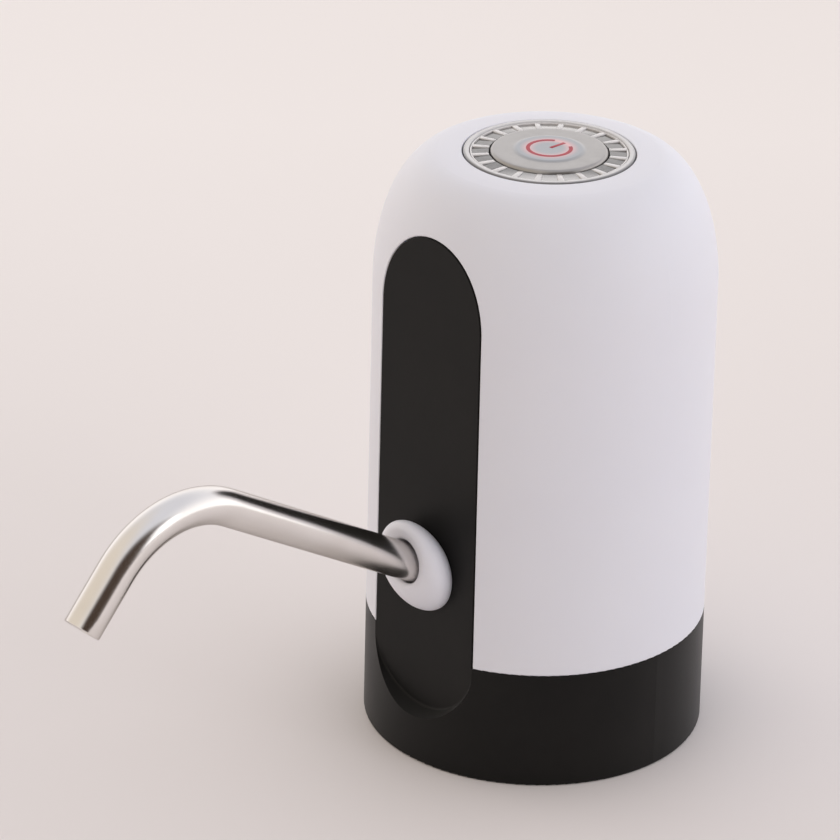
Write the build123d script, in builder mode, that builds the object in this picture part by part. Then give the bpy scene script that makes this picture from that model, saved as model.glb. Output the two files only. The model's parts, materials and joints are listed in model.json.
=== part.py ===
"""Battery hand pump for a water jug.

A round two-colour housing stands on the jug's neck.  A lit push button on top starts a
small diaphragm pump inside, which draws water up a hose on the intake fitting and sends
it out of a bent steel spout at the front.  Millimetres; the origin is the centre of the
open underside, +Z is up and the spout points to -Y.
"""

import os
from math import acos, atan2, cos, degrees, radians, sin, sqrt, tan

from build123d import *

os.makedirs("parts", exist_ok=True)

# ---------------------------------------------------------------- driving dimensions
# Housing
BASE_RADIUS = 37.5
DRAFT = 0.0057  # radius lost per millimetre of height
SEAM_HEIGHT = 26.7  # black collar below, white housing above
SHOULDER_HEIGHT = 103.4
TOP_HEIGHT = 132.0
FLAT_TOP_RADIUS = 22.8
CROWN_FOOT = 23.8  # a shallow crown rises from here to the button's hole
CROWN_EDGE = 18.45
WALL = 2.4
PANEL_FOOT = 34.3  # distance of the flat front panel from the axis, at the bottom
PANEL_LEAN = 0.0045  # the panel leans back by this much per millimetre
PANEL_GAP = 0.06  # moves the panel's outline in from the housing's slot
POCKET_RADIUS = 15.9  # round lower end of the panel, sunk in the collar
POCKET_CENTRE = 28.0
POCKET_FILLET = 0.6
POCKET_FLARE = 25  # degrees by which the pocket's wall opens outwards
COLLAR_WALL = 2.6
EDGE_ROUND = 0.3  # moulded edges of the two housings

# Socket for the jug's neck, under the deck
NECK_RADIUS = 27.6
NECK_BORE_LENGTH = 11.0
GASKET_OUTER = 29.2
SKIRT_OUTER = 30.8
DECK_LOW = 24.4
DECK_TOP = SEAM_HEIGHT
SPIGOT_TOP = 28.6

# Housing screws
COLUMN_RADIUS = 3.2
BOSS_RADIUS = 3.0
SCREW_CIRCLE = 32.85
SCREW_ANGLES = (-50, 20, 160, 230)
HOUSING_BOSS_TOP = 42.0

# Intake fitting, whose spigot takes the suction hose
INTAKE_LOW = 12.5
INTAKE_RADIUS = 3.1
INTAKE_NECK = 3.6

# Spout
SPOUT_ANGLE = 30.1
SPOUT_HEIGHT = 45.5  # where the spout's axis crosses the panel
SPOUT_DEPTH = 34.1
SPOUT_RADIUS = 4.0
SPOUT_WALL = 0.6
SPOUT_ROOT = -17.0  # measured outwards along the axis from the panel
SPOUT_LEG = 64.96
BEND_RADIUS = 24.0
BEND_ANGLE = 78.0
SPOUT_TIP_LENGTH = 13.4
SEAL_RADIUS = 6.28
SOCKET_BORE = 6.36
SOCKET_OUTER = 8.2
SOCKET_BOTTOM = -17.6
NOZZLE_RADIUS = 2.5

# Pump and motor, on one vertical axis behind the middle
PUMP_Y = 14.0
PUMP_RADIUS = 13.5
PUMP_LOW = 28.4
INLET_Y = 7.0
OUTLET_HEIGHT = 31.0
COVER_TOP = 36.0
VALVE_TOP = 38.2
DIAPHRAGM_THICKNESS = 1.4
ROCKER_LOW = 43.8
ROCKER_THICKNESS = 1.8
CASE_TOP = 56.5
CRANK_LOW = 50.4
MOTOR_LOW = 56.6
MOTOR_TOP = 84.5
MOTOR_RADIUS = 12.1
SHAFT_RADIUS = 1.0

# Battery
CELL_X = -21.6
CELL_Y = -6.0
CELL_RADIUS = 9.1
CELL_LOW = 31.0
CELL_LENGTH = 65.0

# Button and light ring on the top
TOP_HOLE = 18.45
BEZEL_OUTER = 18.3
BEZEL_INNER = 16.9
BEZEL_TOP = 132.5
RING_OUTER = 16.8
RING_INNER = 12.8
FACETS = 20  # sloping facets of the light ring
CAP_RADIUS = 12.5
CAP_TOP = 132.8
BOARD_TOP = 119.4
BOARD_THICKNESS = 1.6

# Charging port at the back
PORT_HEIGHT = 46.0
PORT_WIDTH = 8.94
PORT_TALL = 3.2
PORT_MOUTH = 36.6
CHARGE_BOARD_Y = 28.6


# ---------------------------------------------------------------- helpers
def wall_radius(height):
    """Outside radius of the straight wall at a height."""
    return BASE_RADIUS - DRAFT * height


def outside_form(low, inset=0.0, mode=Mode.ADD):
    """Solid of revolution of the outside form, moved inwards, from a height upwards."""
    foot = wall_radius(low) - inset
    shoulder = wall_radius(SHOULDER_HEIGHT) - inset
    flat = FLAT_TOP_RADIUS - inset
    top = TOP_HEIGHT - inset
    rise = top - SHOULDER_HEIGHT
    with BuildSketch(Plane.XZ) as outline:
        with BuildLine():
            Line((0, low), (foot, low))
            Line((foot, low), (shoulder, SHOULDER_HEIGHT))
            if inset:
                EllipticalCenterArc((flat, SHOULDER_HEIGHT), shoulder - flat, rise, 0, arc_size=90)
                Line((flat, top), (0, top))
            else:
                turned_by = degrees(acos((CROWN_FOOT - flat) / (shoulder - flat)))
                swell = EllipticalCenterArc(
                    (flat, SHOULDER_HEIGHT), shoulder - flat, rise, 0, arc_size=turned_by
                )
                lean = atan2((swell % 1).Y, -(swell % 1).X)
                crown_radius = (CROWN_FOOT - CROWN_EDGE) / sin(lean)
                top = (swell @ 1).Y + crown_radius * (1 - cos(lean))
                CenterArc((CROWN_EDGE, top - crown_radius), crown_radius, 90, -degrees(lean))
                Line((CROWN_EDGE, top), (0, top))
            Line((0, top), (0, low))
        make_face()
    revolve(outline.sketch, axis=Axis.Z, mode=mode)


def upright(x, y):
    """Vertical drawing plane whose own vertical axis stands at x, y."""
    return Plane(origin=(x, y, 0), x_dir=(1, 0, 0), z_dir=(0, -1, 0))


def turned(corners, plane=Plane.XZ, mode=Mode.ADD):
    """Revolve an outline of (radius, height) corners about the plane's upright axis."""
    with BuildSketch(plane) as outline:
        with BuildLine():
            Polyline(*corners, close=True)
        make_face()
    revolve(outline.sketch, axis=Axis(plane.origin, plane.y_dir), mode=mode)


def tube(plane, outer, inner, length, mode=Mode.ADD):
    """Straight tube from a plane, or a solid rod where the inner radius is zero."""
    with BuildSketch(plane) as ring:
        Circle(outer)
        if inner > 0:
            Circle(inner, mode=Mode.SUBTRACT)
    extrude(ring.sketch, amount=length, mode=mode)


def block(plane, width, tall, length, mode=Mode.ADD):
    """Rectangular bar that rises from a plane."""
    with BuildSketch(plane) as section:
        Rectangle(width, tall)
    extrude(section.sketch, amount=length, mode=mode)


def level(x, y, height):
    """Horizontal plane through a point, facing up."""
    return Plane(origin=(x, y, height))


def on_circle(radius, angle):
    """Point of a circle about the axis."""
    return radius * cos(radians(angle)), radius * sin(radians(angle))


def panel_face(inset):
    """Face that the front panel's plane cuts from the outside form."""
    with BuildPart() as cut:
        outside_form(DECK_LOW, inset)
        block(FRONT, 200, 400, 60, mode=Mode.SUBTRACT)
    return cut.faces().filter_by(FRONT).sort_by(Axis.Y)[0]


def screws(places, head_low, head_radius, head_height, shank_radius, shank_length):
    """Pan-head screws that point up, with the underside of each head at head_low."""
    for x, y in places:
        tube(level(x, y, head_low), head_radius, 0, head_height)
        tube(level(x, y, head_low + head_height), shank_radius, 0, shank_length)
        with BuildSketch(level(x, y, head_low)) as slot:
            Rectangle(head_radius * 1.3, 0.5)
            Rectangle(0.5, head_radius * 1.3)
        extrude(slot.sketch, amount=head_height * 0.5, mode=Mode.SUBTRACT)


def ring_edges(builder, radius, height):
    """Round edges of a radius at a height."""
    rings = builder.edges().filter_by(GeomType.CIRCLE)
    return rings.filter_by(lambda edge: abs(edge.radius - radius) + abs(edge.center().Z - height) < 0.05)


def panel_outline(builder):
    """Long edges where the outside form meets the front panel's plane, above the seam."""
    curves = builder.edges().filter_by(GeomType.BSPLINE)
    return curves.filter_by(
        lambda edge: edge.length > 40 and abs(FRONT.to_local_coords(edge.center()).Z) < 0.05
    )


def finish(built, name, colour):
    """Label a finished piece and write it to its own file."""
    built.part.label = name
    built.part.color = Color(*colour)
    export_step(built.part, f"parts/{name}.step")


WHITE = (0.88, 0.87, 0.9)
BLACK = (0.07, 0.07, 0.07)
CLEAR = (0.8, 0.85, 0.88)
STEEL = (0.66, 0.66, 0.66)
SILICONE = (0.75, 0.77, 0.78)
GREEN = (0.1, 0.35, 0.18)
BRASS = (0.75, 0.6, 0.3)
RED = (0.75, 0.1, 0.12)

SCREW_PLACES = [on_circle(SCREW_CIRCLE, angle) for angle in SCREW_ANGLES]

# Plane of the flat front panel
FRONT = Plane(origin=(0, -PANEL_FOOT, 0), x_dir=(1, 0, 0), z_dir=(0, -1, PANEL_LEAN))
# Plane across the spout's axis at the panel, facing outwards and up
LEAN = radians(SPOUT_ANGLE)
SPOUT_PLANE = Plane(
    origin=(0, -SPOUT_DEPTH, SPOUT_HEIGHT),
    x_dir=(1, 0, 0),
    z_dir=(0, -cos(LEAN), sin(LEAN)),
)
# Side view: first coordinate outwards from the axis, second up
SIDE = Plane(origin=(0, 0, 0), x_dir=(0, -1, 0), z_dir=(-1, 0, 0))


def along_spout(distance):
    """Point of the spout's axis in the side view."""
    return SPOUT_DEPTH + distance * cos(LEAN), SPOUT_HEIGHT + distance * sin(LEAN)


# ---------------------------------------------------------------- base collar
# One moulding: outer wall, deck, neck skirt, screw columns and the front tongue.
EAR_X = 12.0  # bosses for the outlet socket's ears
EAR_Z = 42.0
EAR_PLANE = 27.2
EAR_RADIUS = 2.6
PEDESTAL_X = 16.8  # pump's pedestals
PEG_OFFSET = 5.0  # pegs of the battery cradle, in blind holes
PEG_LOW = 25.4
RIBS = 16
RIB_LOW = 5.0

tongue_face = panel_face(PANEL_GAP)
slot_face = panel_face(0)

# cutter for the panel's round lower end, flared, with a rounded floor edge
with BuildPart() as pocket:
    with BuildSketch(FRONT):
        with Locations((0, POCKET_CENTRE)):
            Circle(POCKET_RADIUS)
    extrude(amount=12, taper=-POCKET_FLARE)
    fillet(pocket.edges().group_by(Axis.Y)[-1], POCKET_FILLET)

with BuildPart() as base_collar:
    outside_form(0)
    block(level(0, 0, SEAM_HEIGHT), 200, 200, 200, mode=Mode.SUBTRACT)
    tube(level(0, 0, 0), wall_radius(0) - COLLAR_WALL, 0, DECK_LOW, mode=Mode.SUBTRACT)
    # skirt that carries the neck gasket, ribbed to the outer wall
    tube(level(0, 0, 0), SKIRT_OUTER, GASKET_OUTER, DECK_LOW)
    with BuildSketch(level(0, 0, RIB_LOW)):
        with PolarLocations((SKIRT_OUTER + wall_radius(0) - COLLAR_WALL) / 2, RIBS, 180 / RIBS):
            Rectangle(4.6, 1.2)
    extrude(amount=DECK_LOW - RIB_LOW)
    # screw columns
    for place in SCREW_PLACES:
        tube(level(*place, 0.8), COLUMN_RADIUS, 0, DECK_LOW - 0.8)
    # solid behind the sunk lower end of the panel
    block(Plane(origin=(0, -32.3, 0)), 27, 4.4, DECK_LOW)
    block(Plane(origin=(0, -34.3, 0)), 16, 2.0, DECK_LOW)
    # spigot that centres the white housing
    tube(level(0, 0, DECK_TOP), 34.8, 33.2, SPIGOT_TOP - DECK_TOP)
    # front tongue, the flat black panel
    extrude(tongue_face, amount=-WALL)
    # flat and its round lower end, cut in the outer wall
    with BuildSketch(FRONT):
        with Locations((0, 80)):
            Rectangle(60, 2 * (80 - POCKET_CENTRE))
    extrude(amount=12, mode=Mode.SUBTRACT)
    add(pocket.part, mode=Mode.SUBTRACT)
    # bosses on the tongue's back for the outlet socket
    with BuildSketch(Plane.XZ.offset(EAR_PLANE)):
        with Locations((-EAR_X, EAR_Z), (EAR_X, EAR_Z)):
            Circle(EAR_RADIUS)
    extrude(amount=PANEL_FOOT - WALL - EAR_PLANE)
    with BuildSketch(Plane.XZ.offset(EAR_PLANE)):
        with Locations((-EAR_X, EAR_Z), (EAR_X, EAR_Z)):
            Circle(0.85)
    extrude(amount=5.4, mode=Mode.SUBTRACT)
    # spout hole
    tube(SPOUT_PLANE.offset(-8), 6.05, 0, 16, mode=Mode.SUBTRACT)
    # pedestals for the pump
    for side in (-1, 1):
        tube(level(side * PEDESTAL_X, PUMP_Y, DECK_TOP), 2.6, 0, 7.2)
        tube(level(side * PEDESTAL_X, PUMP_Y, 25.6), 1.05, 0, 10, mode=Mode.SUBTRACT)
        tube(level(CELL_X + side * PEG_OFFSET, CELL_Y, PEG_LOW - 0.2), 1.55, 0, 10, mode=Mode.SUBTRACT)
    # intake hole and the housing screws' holes
    tube(level(0, INLET_Y, 20), INTAKE_NECK + 0.05, 0, 10, mode=Mode.SUBTRACT)
    for place in SCREW_PLACES:
        tube(level(*place, DECK_TOP), BOSS_RADIUS + 0.3, 0, 10, mode=Mode.SUBTRACT)
        tube(level(*place, -1), 2.5, 0, 19, mode=Mode.SUBTRACT)
        tube(level(*place, 10), 1.45, 0, 20, mode=Mode.SUBTRACT)
    fillet(ring_edges(base_collar, wall_radius(0), 0), 0.5)
    fillet(panel_outline(base_collar), 0.12)
finish(base_collar, "base_collar", BLACK)


# ---------------------------------------------------------------- neck gasket
# Silicone sleeve with a plain bore for the neck, two wiping lips and a seat for its rim.
LIP_RADIUS = 27.0
SEAT_RADIUS = 22.0
LIP_HEIGHTS = (13.0, 17.5)

with BuildPart() as neck_gasket:
    tube(level(0, 0, 0), GASKET_OUTER, NECK_RADIUS, NECK_BORE_LENGTH)
    tube(level(0, 0, NECK_BORE_LENGTH), GASKET_OUTER, NECK_RADIUS + 0.5, DECK_LOW - NECK_BORE_LENGTH)
    tube(level(0, 0, DECK_LOW - 2), GASKET_OUTER, SEAT_RADIUS, 2)
    for height in LIP_HEIGHTS:
        turned([(NECK_RADIUS + 0.6, height), (LIP_RADIUS, height + 0.9), (NECK_RADIUS + 0.6, height + 1.4)])
finish(neck_gasket, "neck_gasket", SILICONE)

# ---------------------------------------------------------------- white housing
GUIDE_BOSS_CIRCLE = 24.5
GUIDE_ANGLES = (30, 150, 270)
GUIDE_BOSS_LOW = 124.2
RAIL_X = 8.8

with BuildPart() as upper_housing:
    outside_form(SEAM_HEIGHT)
    outside_form(SEAM_HEIGHT, WALL, mode=Mode.SUBTRACT)
    # screw bosses that stand on the deck, joined to the wall
    for place in SCREW_PLACES:
        tube(level(*place, DECK_TOP + 0.1), BOSS_RADIUS, 0, HOUSING_BOSS_TOP - DECK_TOP)
    # bosses under the dome for the button guide
    for angle in GUIDE_ANGLES:
        tube(level(*on_circle(GUIDE_BOSS_CIRCLE, angle), GUIDE_BOSS_LOW), 2.7, 0, 6)
    # rails that carry the charging board
    for side in (-1, 1):
        block(Plane(origin=(side * RAIL_X, 32.9, 36)), 2.6, 5.2, 28)
    for place in SCREW_PLACES:
        tube(level(*place, DECK_TOP), 1.2, 0, 12, mode=Mode.SUBTRACT)
    for angle in GUIDE_ANGLES:
        tube(level(*on_circle(GUIDE_BOSS_CIRCLE, angle), 120), 0.95, 0, 8.6, mode=Mode.SUBTRACT)
    for side in (-1, 1):
        with BuildSketch(Plane(origin=(side * RAIL_X, 30, 60), x_dir=(1, 0, 0), z_dir=(0, 1, 0))):
            Circle(0.7)
        extrude(amount=4, mode=Mode.SUBTRACT)
    # slot for the front panel
    extrude(slot_face, amount=-8, mode=Mode.SUBTRACT)
    extrude(slot_face, amount=8, mode=Mode.SUBTRACT)
    # hole for the button
    tube(level(0, 0, 100), TOP_HOLE, 0, 40, mode=Mode.SUBTRACT)
    # charging port: finger recess and slot
    with BuildSketch(Plane(origin=(0, 36.5, PORT_HEIGHT), x_dir=(1, 0, 0), z_dir=(0, 1, 0))):
        SlotOverall(13.4, 7.0)
    extrude(amount=5, mode=Mode.SUBTRACT)
    with BuildSketch(Plane(origin=(0, 30, PORT_HEIGHT), x_dir=(1, 0, 0), z_dir=(0, 1, 0))):
        SlotOverall(PORT_WIDTH + 0.4, PORT_TALL + 0.4)
    extrude(amount=10, mode=Mode.SUBTRACT)
    seam_edges = ring_edges(upper_housing, wall_radius(SEAM_HEIGHT), SEAM_HEIGHT)
    fillet(panel_outline(upper_housing) + seam_edges, EDGE_ROUND)
    hole_edges = upper_housing.edges().filter_by(GeomType.CIRCLE).group_by(Axis.Z)[-1]
    fillet(hole_edges, EDGE_ROUND)
finish(upper_housing, "upper_housing", WHITE)


with BuildPart() as housing_screws:
    screws(SCREW_PLACES, 16.2, 2.3, 1.7, 1.15, 18.5)
finish(housing_screws, "housing_screws", STEEL)

# ---------------------------------------------------------------- intake
with BuildPart() as intake_fitting:
    tube(level(0, INLET_Y, INTAKE_LOW), INTAKE_RADIUS, 2.1, DECK_TOP - INTAKE_LOW)
    tube(level(0, INLET_Y, DECK_LOW - 0.5), INTAKE_NECK, 2.1, DECK_TOP - DECK_LOW + 0.5)
    tube(level(0, INLET_Y, DECK_TOP), 5.5, 2.1, 1.5)
    tube(level(0, INLET_Y, DECK_TOP + 0.5), 3.3, 0, 1.0, mode=Mode.SUBTRACT)
    foot_rims = intake_fitting.edges().filter_by(GeomType.CIRCLE).group_by(Axis.Z)[0]
    chamfer(foot_rims.sort_by(SortBy.RADIUS)[-1], 0.5)
finish(intake_fitting, "intake_fitting", WHITE)

with BuildPart() as intake_seal:
    tube(level(0, INLET_Y, DECK_TOP + 0.5), 3.25, 2.05, 1.0)
    fillet(intake_seal.edges().filter_by(GeomType.CIRCLE), 0.35)
finish(intake_seal, "intake_seal", BLACK)

# ---------------------------------------------------------------- pump
# Stack of cover, valve plate, diaphragm and crankcase, held by four long screws.
STACK_PLACES = [(x, PUMP_Y + y) for x in (-7.9, 7.9) for y in (-7.9, 7.9)]
CUP_CIRCLE = 5.6
CUP_ANGLES = (30, 150, 270)

with BuildPart() as pump_cover:
    tube(level(0, PUMP_Y, PUMP_LOW), PUMP_RADIUS, 0, COVER_TOP - PUMP_LOW)
    tube(level(0, INLET_Y, 24.8), 2.0, 0, PUMP_LOW - 24.8)
    # outlet nozzle towards the spout
    with BuildSketch(Plane.XZ.offset(-3)):
        with Locations((0, OUTLET_HEIGHT)):
            Circle(NOZZLE_RADIUS)
    extrude(amount=8.5)
    # ears on the deck's pedestals
    for side in (-1, 1):
        block(level(side * 14.9, PUMP_Y, COVER_TOP - 2), 9.0, 6.0, 2)
        tube(level(side * PEDESTAL_X, PUMP_Y, 30), 1.35, 0, 10, mode=Mode.SUBTRACT)
        tube(level(side * PEDESTAL_X, PUMP_Y, 20), 2.9, 0, 14, mode=Mode.SUBTRACT)
    tube(level(0, INLET_Y, 20), 1.2, 0, 20, mode=Mode.SUBTRACT)
    with BuildSketch(Plane.XZ.offset(-3.6)):
        with Locations((0, OUTLET_HEIGHT)):
            Circle(1.4)
    extrude(amount=12, mode=Mode.SUBTRACT)
    tube(level(0, 3.2, OUTLET_HEIGHT), 1.3, 0, 10, mode=Mode.SUBTRACT)
    for place in STACK_PLACES:
        tube(level(*place, 20), 1.0, 0, 20, mode=Mode.SUBTRACT)
        tube(level(*place, 20), 1.8, 0, 10, mode=Mode.SUBTRACT)
finish(pump_cover, "pump_cover", BLACK)

with BuildPart() as pump_valve_plate:
    tube(level(0, PUMP_Y, COVER_TOP), PUMP_RADIUS, 0, VALVE_TOP - COVER_TOP)
    for place in STACK_PLACES + [(0, INLET_Y), (0, 3.2)]:
        tube(level(*place, 30), 1.0, 0, 10, mode=Mode.SUBTRACT)
    with BuildSketch(level(0, PUMP_Y, 30)):
        with PolarLocations(CUP_CIRCLE, 3, CUP_ANGLES[0]):
            with PolarLocations(1.9, 4):
                Circle(0.5)
    extrude(amount=10, mode=Mode.SUBTRACT)
finish(pump_valve_plate, "pump_valve_plate", WHITE)

with BuildPart() as pump_diaphragm:
    tube(level(0, PUMP_Y, VALVE_TOP), PUMP_RADIUS, 0, DIAPHRAGM_THICKNESS)
    for angle in CUP_ANGLES:
        x, y = on_circle(CUP_CIRCLE, angle)
        turned(
            [(0, VALVE_TOP), (3.4, VALVE_TOP), (3.0, 42.2), (0.9, 43.2), (0.9, 45.6), (0, 45.6)],
            upright(x, PUMP_Y + y),
        )
        turned([(0, VALVE_TOP - 1), (2.6, VALVE_TOP - 1), (2.3, 41.4), (0, 41.9)],
               upright(x, PUMP_Y + y), mode=Mode.SUBTRACT)
    for place in STACK_PLACES:
        tube(level(*place, 30), 1.0, 0, 12, mode=Mode.SUBTRACT)
finish(pump_diaphragm, "pump_diaphragm", BLACK)

with BuildPart() as pump_rocker:
    tube(level(0, PUMP_Y, ROCKER_LOW), 3.4, 0, ROCKER_THICKNESS)
    for angle in CUP_ANGLES:
        x, y = on_circle(CUP_CIRCLE, angle)
        tube(level(x, PUMP_Y + y, ROCKER_LOW), 2.2, 0, ROCKER_THICKNESS)
        arm = Plane(origin=(x / 2, PUMP_Y + y / 2, ROCKER_LOW)).rotated((0, 0, angle))
        block(arm, CUP_CIRCLE, 2.6, ROCKER_THICKNESS)
        tube(level(x, PUMP_Y + y, 40), 0.95, 0, 10, mode=Mode.SUBTRACT)
    tube(level(0, PUMP_Y, 40), 2.1, 0, 10, mode=Mode.SUBTRACT)
finish(pump_rocker, "pump_rocker", WHITE)

with BuildPart() as pump_crankcase:
    tube(level(0, PUMP_Y, VALVE_TOP + DIAPHRAGM_THICKNESS), PUMP_RADIUS, 9.4, 9.0)
    tube(level(0, PUMP_Y, VALVE_TOP + DIAPHRAGM_THICKNESS + 9), PUMP_RADIUS, 11.6, 6.0)
    tube(level(0, PUMP_Y, CASE_TOP - 1.9), PUMP_RADIUS, 3.2, 1.9)
    for place in STACK_PLACES:
        tube(level(*place, 30), 1.0, 0, 17.5, mode=Mode.SUBTRACT)
finish(pump_crankcase, "pump_crankcase", BLACK)

with BuildPart() as pump_screws:
    screws(STACK_PLACES, 28.5, 1.7, 1.5, 0.9, 17)
finish(pump_screws, "pump_screws", STEEL)

with BuildPart() as pump_mount_screws:
    for side in (-1, 1):
        tube(level(side * PEDESTAL_X, PUMP_Y, COVER_TOP), 2.2, 0, 1.5)
        tube(level(side * PEDESTAL_X, PUMP_Y, 27.5), 1.0, 0, COVER_TOP - 27.5)
finish(pump_mount_screws, "pump_mount_screws", STEEL)

# ---------------------------------------------------------------- motor
BEARING_LOW = 54.9

with BuildPart() as motor_can:
    tube(level(0, PUMP_Y, MOTOR_LOW), MOTOR_RADIUS, 0, MOTOR_TOP - MOTOR_LOW)
    fillet(motor_can.edges().group_by(Axis.Z)[0], 1.0)
    tube(level(0, PUMP_Y, MOTOR_LOW + 1.2), MOTOR_RADIUS - 1, 0, 40, mode=Mode.SUBTRACT)
    tube(level(0, PUMP_Y, BEARING_LOW), 3.1, 0, 3.0)
    tube(level(0, PUMP_Y, 50), SHAFT_RADIUS + 0.05, 0, 12, mode=Mode.SUBTRACT)
finish(motor_can, "motor_can", STEEL)

with BuildPart() as motor_magnets:
    with BuildSketch(level(0, PUMP_Y, 60)):
        Circle(MOTOR_RADIUS - 1.05)
        Circle(9.0, mode=Mode.SUBTRACT)
        Rectangle(3.5, 30, mode=Mode.SUBTRACT)
    extrude(amount=22)
finish(motor_magnets, "motor_magnets", BLACK)

with BuildPart() as motor_end_cap:
    tube(level(0, PUMP_Y, MOTOR_TOP), MOTOR_RADIUS, 0, 2.2)
    tube(level(0, PUMP_Y, MOTOR_TOP + 2.2), 4.2, 0, 2.6)
    tube(level(0, PUMP_Y, MOTOR_TOP - 4), SHAFT_RADIUS + 0.05, 0, 8, mode=Mode.SUBTRACT)
    for side in (-1, 1):
        block(level(side * 8.2, PUMP_Y, 80), 0.7, 2.6, 20, mode=Mode.SUBTRACT)
finish(motor_end_cap, "motor_end_cap", WHITE)

with BuildPart() as motor_terminals:
    for side in (-1, 1):
        block(level(side * 8.2, PUMP_Y, MOTOR_TOP - 2), 0.5, 2.4, 7)
finish(motor_terminals, "motor_terminals", BRASS)

with BuildPart() as motor_rotor:
    tube(level(0, PUMP_Y, CRANK_LOW), SHAFT_RADIUS, 0, 38)
    # three-pole armature
    with BuildSketch(level(0, PUMP_Y, 62)):
        Circle(8.5)
        with PolarLocations(7.6, 3):
            Rectangle(7, 1.6, mode=Mode.SUBTRACT)
        with PolarLocations(6.2, 3):
            Circle(1.6, mode=Mode.SUBTRACT)
    extrude(amount=17)
    tube(level(0, PUMP_Y, 79), 2.8, 0, 4.6)
finish(motor_rotor, "motor_rotor", STEEL)

# crank on the shaft's lower end, with the slanted drive pin of the rocker
PIN_LEAN = 14.0

with BuildPart() as pump_crank:
    tube(level(0, PUMP_Y, CRANK_LOW), 5.6, SHAFT_RADIUS, 3.8)
    pin_top = Plane(
        origin=(2.6, PUMP_Y, 52),
        x_dir=(1, 0, 0),
        z_dir=(-sin(radians(PIN_LEAN)), 0, -cos(radians(PIN_LEAN))),
    )
    tube(Plane(origin=pin_top.origin, z_dir=pin_top.z_dir), 0.7, 0, 7.6)
finish(pump_crank, "pump_crank", WHITE)


# ---------------------------------------------------------------- water outlet
HOSE_BORE = 2.55
HOSE_RADIUS = 3.7
HOSE_BEND = 12.0
EAR_THICKNESS = 2.0

with BuildPart() as outlet_socket:
    tube(SPOUT_PLANE.offset(SOCKET_BOTTOM - 1.8), SOCKET_OUTER, 0, 21)
    for side in (-1, 1):
        with BuildSketch(Plane.XZ.offset(EAR_PLANE - EAR_THICKNESS)):
            with Locations((side * EAR_X, EAR_Z)):
                Circle(EAR_RADIUS)
            with Locations((side * (EAR_X / 2 + 1), EAR_Z)):
                Rectangle(EAR_X - 2, 2 * EAR_RADIUS)
        extrude(amount=EAR_THICKNESS)
        with BuildSketch(Plane.XZ.offset(20)):
            with Locations((side * EAR_X, EAR_Z)):
                Circle(1.1)
        extrude(amount=12, mode=Mode.SUBTRACT)
    # front face against the tongue's back
    block(FRONT.offset(-WALL - 0.05), 60, 200, 20, mode=Mode.SUBTRACT)
    tube(SPOUT_PLANE.offset(SOCKET_BOTTOM), SOCKET_BORE, 0, 30, mode=Mode.SUBTRACT)
    tube(SPOUT_PLANE.offset(-25), NOZZLE_RADIUS, 0, 6)
    tube(SPOUT_PLANE.offset(-26), 1.6, 0, 12, mode=Mode.SUBTRACT)
finish(outlet_socket, "outlet_socket", BLACK)

with BuildPart() as socket_screws:
    for side in (-1, 1):
        with BuildSketch(Plane.XZ.offset(EAR_PLANE - EAR_THICKNESS - 1.2)):
            with Locations((side * EAR_X, EAR_Z)):
                Circle(1.9)
        extrude(amount=1.2)
        with BuildSketch(Plane.XZ.offset(EAR_PLANE - EAR_THICKNESS)):
            with Locations((side * EAR_X, EAR_Z)):
                Circle(0.8)
        extrude(amount=6)
finish(socket_screws, "socket_screws", STEEL)

# silicone hose from the pump's nozzle to the socket's nozzle
bend_reach = HOSE_BEND * tan(LEAN / 2)
meeting = (OUTLET_HEIGHT - SPOUT_HEIGHT) / sin(LEAN)
meeting_out, meeting_up = along_spout(meeting)
hose_end = along_spout(-19.6)

with BuildPart() as outlet_hose:
    with BuildLine(SIDE) as hose_route:
        low_run = Line((0.2, OUTLET_HEIGHT), (meeting_out - bend_reach, OUTLET_HEIGHT))
        turn = JernArc(low_run @ 1, low_run % 1, HOSE_BEND, SPOUT_ANGLE)
        Line(turn @ 1, hose_end)
    with BuildSketch(Plane(origin=hose_route.line @ 0, z_dir=hose_route.line % 0)):
        Circle(HOSE_RADIUS)
        Circle(HOSE_BORE, mode=Mode.SUBTRACT)
    sweep(path=hose_route.line)
finish(outlet_hose, "outlet_hose", SILICONE)

# ---------------------------------------------------------------- spout
with BuildPart() as spout_seal:
    tube(SPOUT_PLANE.offset(-16.8), SEAL_RADIUS, SPOUT_RADIUS + 0.03, 10.2)
    for distance in (-15.0, -11.7, -8.4):
        tube(SPOUT_PLANE.offset(distance - 0.7), SEAL_RADIUS, SEAL_RADIUS - 0.6, 1.4, mode=Mode.SUBTRACT)
finish(spout_seal, "spout_seal", SILICONE)

with BuildPart() as spout_tube:
    with BuildLine(SIDE) as spout_route:
        leg = Line(along_spout(SPOUT_ROOT), along_spout(SPOUT_LEG))
        bend = JernArc(leg @ 1, leg % 1, BEND_RADIUS, -BEND_ANGLE)
        Line(bend @ 1, (bend @ 1) + (bend % 1) * SPOUT_TIP_LENGTH)
    with BuildSketch(Plane(origin=spout_route.line @ 0, z_dir=spout_route.line % 0)):
        Circle(SPOUT_RADIUS)
        Circle(SPOUT_RADIUS - SPOUT_WALL, mode=Mode.SUBTRACT)
    sweep(path=spout_route.line)
    fillet(spout_tube.edges().group_by(Axis.Y)[0], 0.15)
finish(spout_tube, "spout_tube", STEEL)
print("spout tip", spout_route.line @ 1)
print("spout tip direction", spout_route.line % 1)

# white rounded collar round the spout's root
COLLAR_DEPTH = 40.9
COLLAR_WIDEST = 37.0
COLLAR_HALF_WIDTH = 9.4
COLLAR_HALF_HEIGHT = 10.0
COLLAR_CLIMB = 0.715
COLLAR_CROWN = 3.95
COLLAR_BORE = SPOUT_RADIUS + 0.4
# ovals of the rounded lip, as depth, half width, half height and centre height
LIP_INNER = (39.9, 4.42, 5.12, 48.9)
LIP_OUTER = (41.0, 5.5, 6.2, 49.7)


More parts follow.
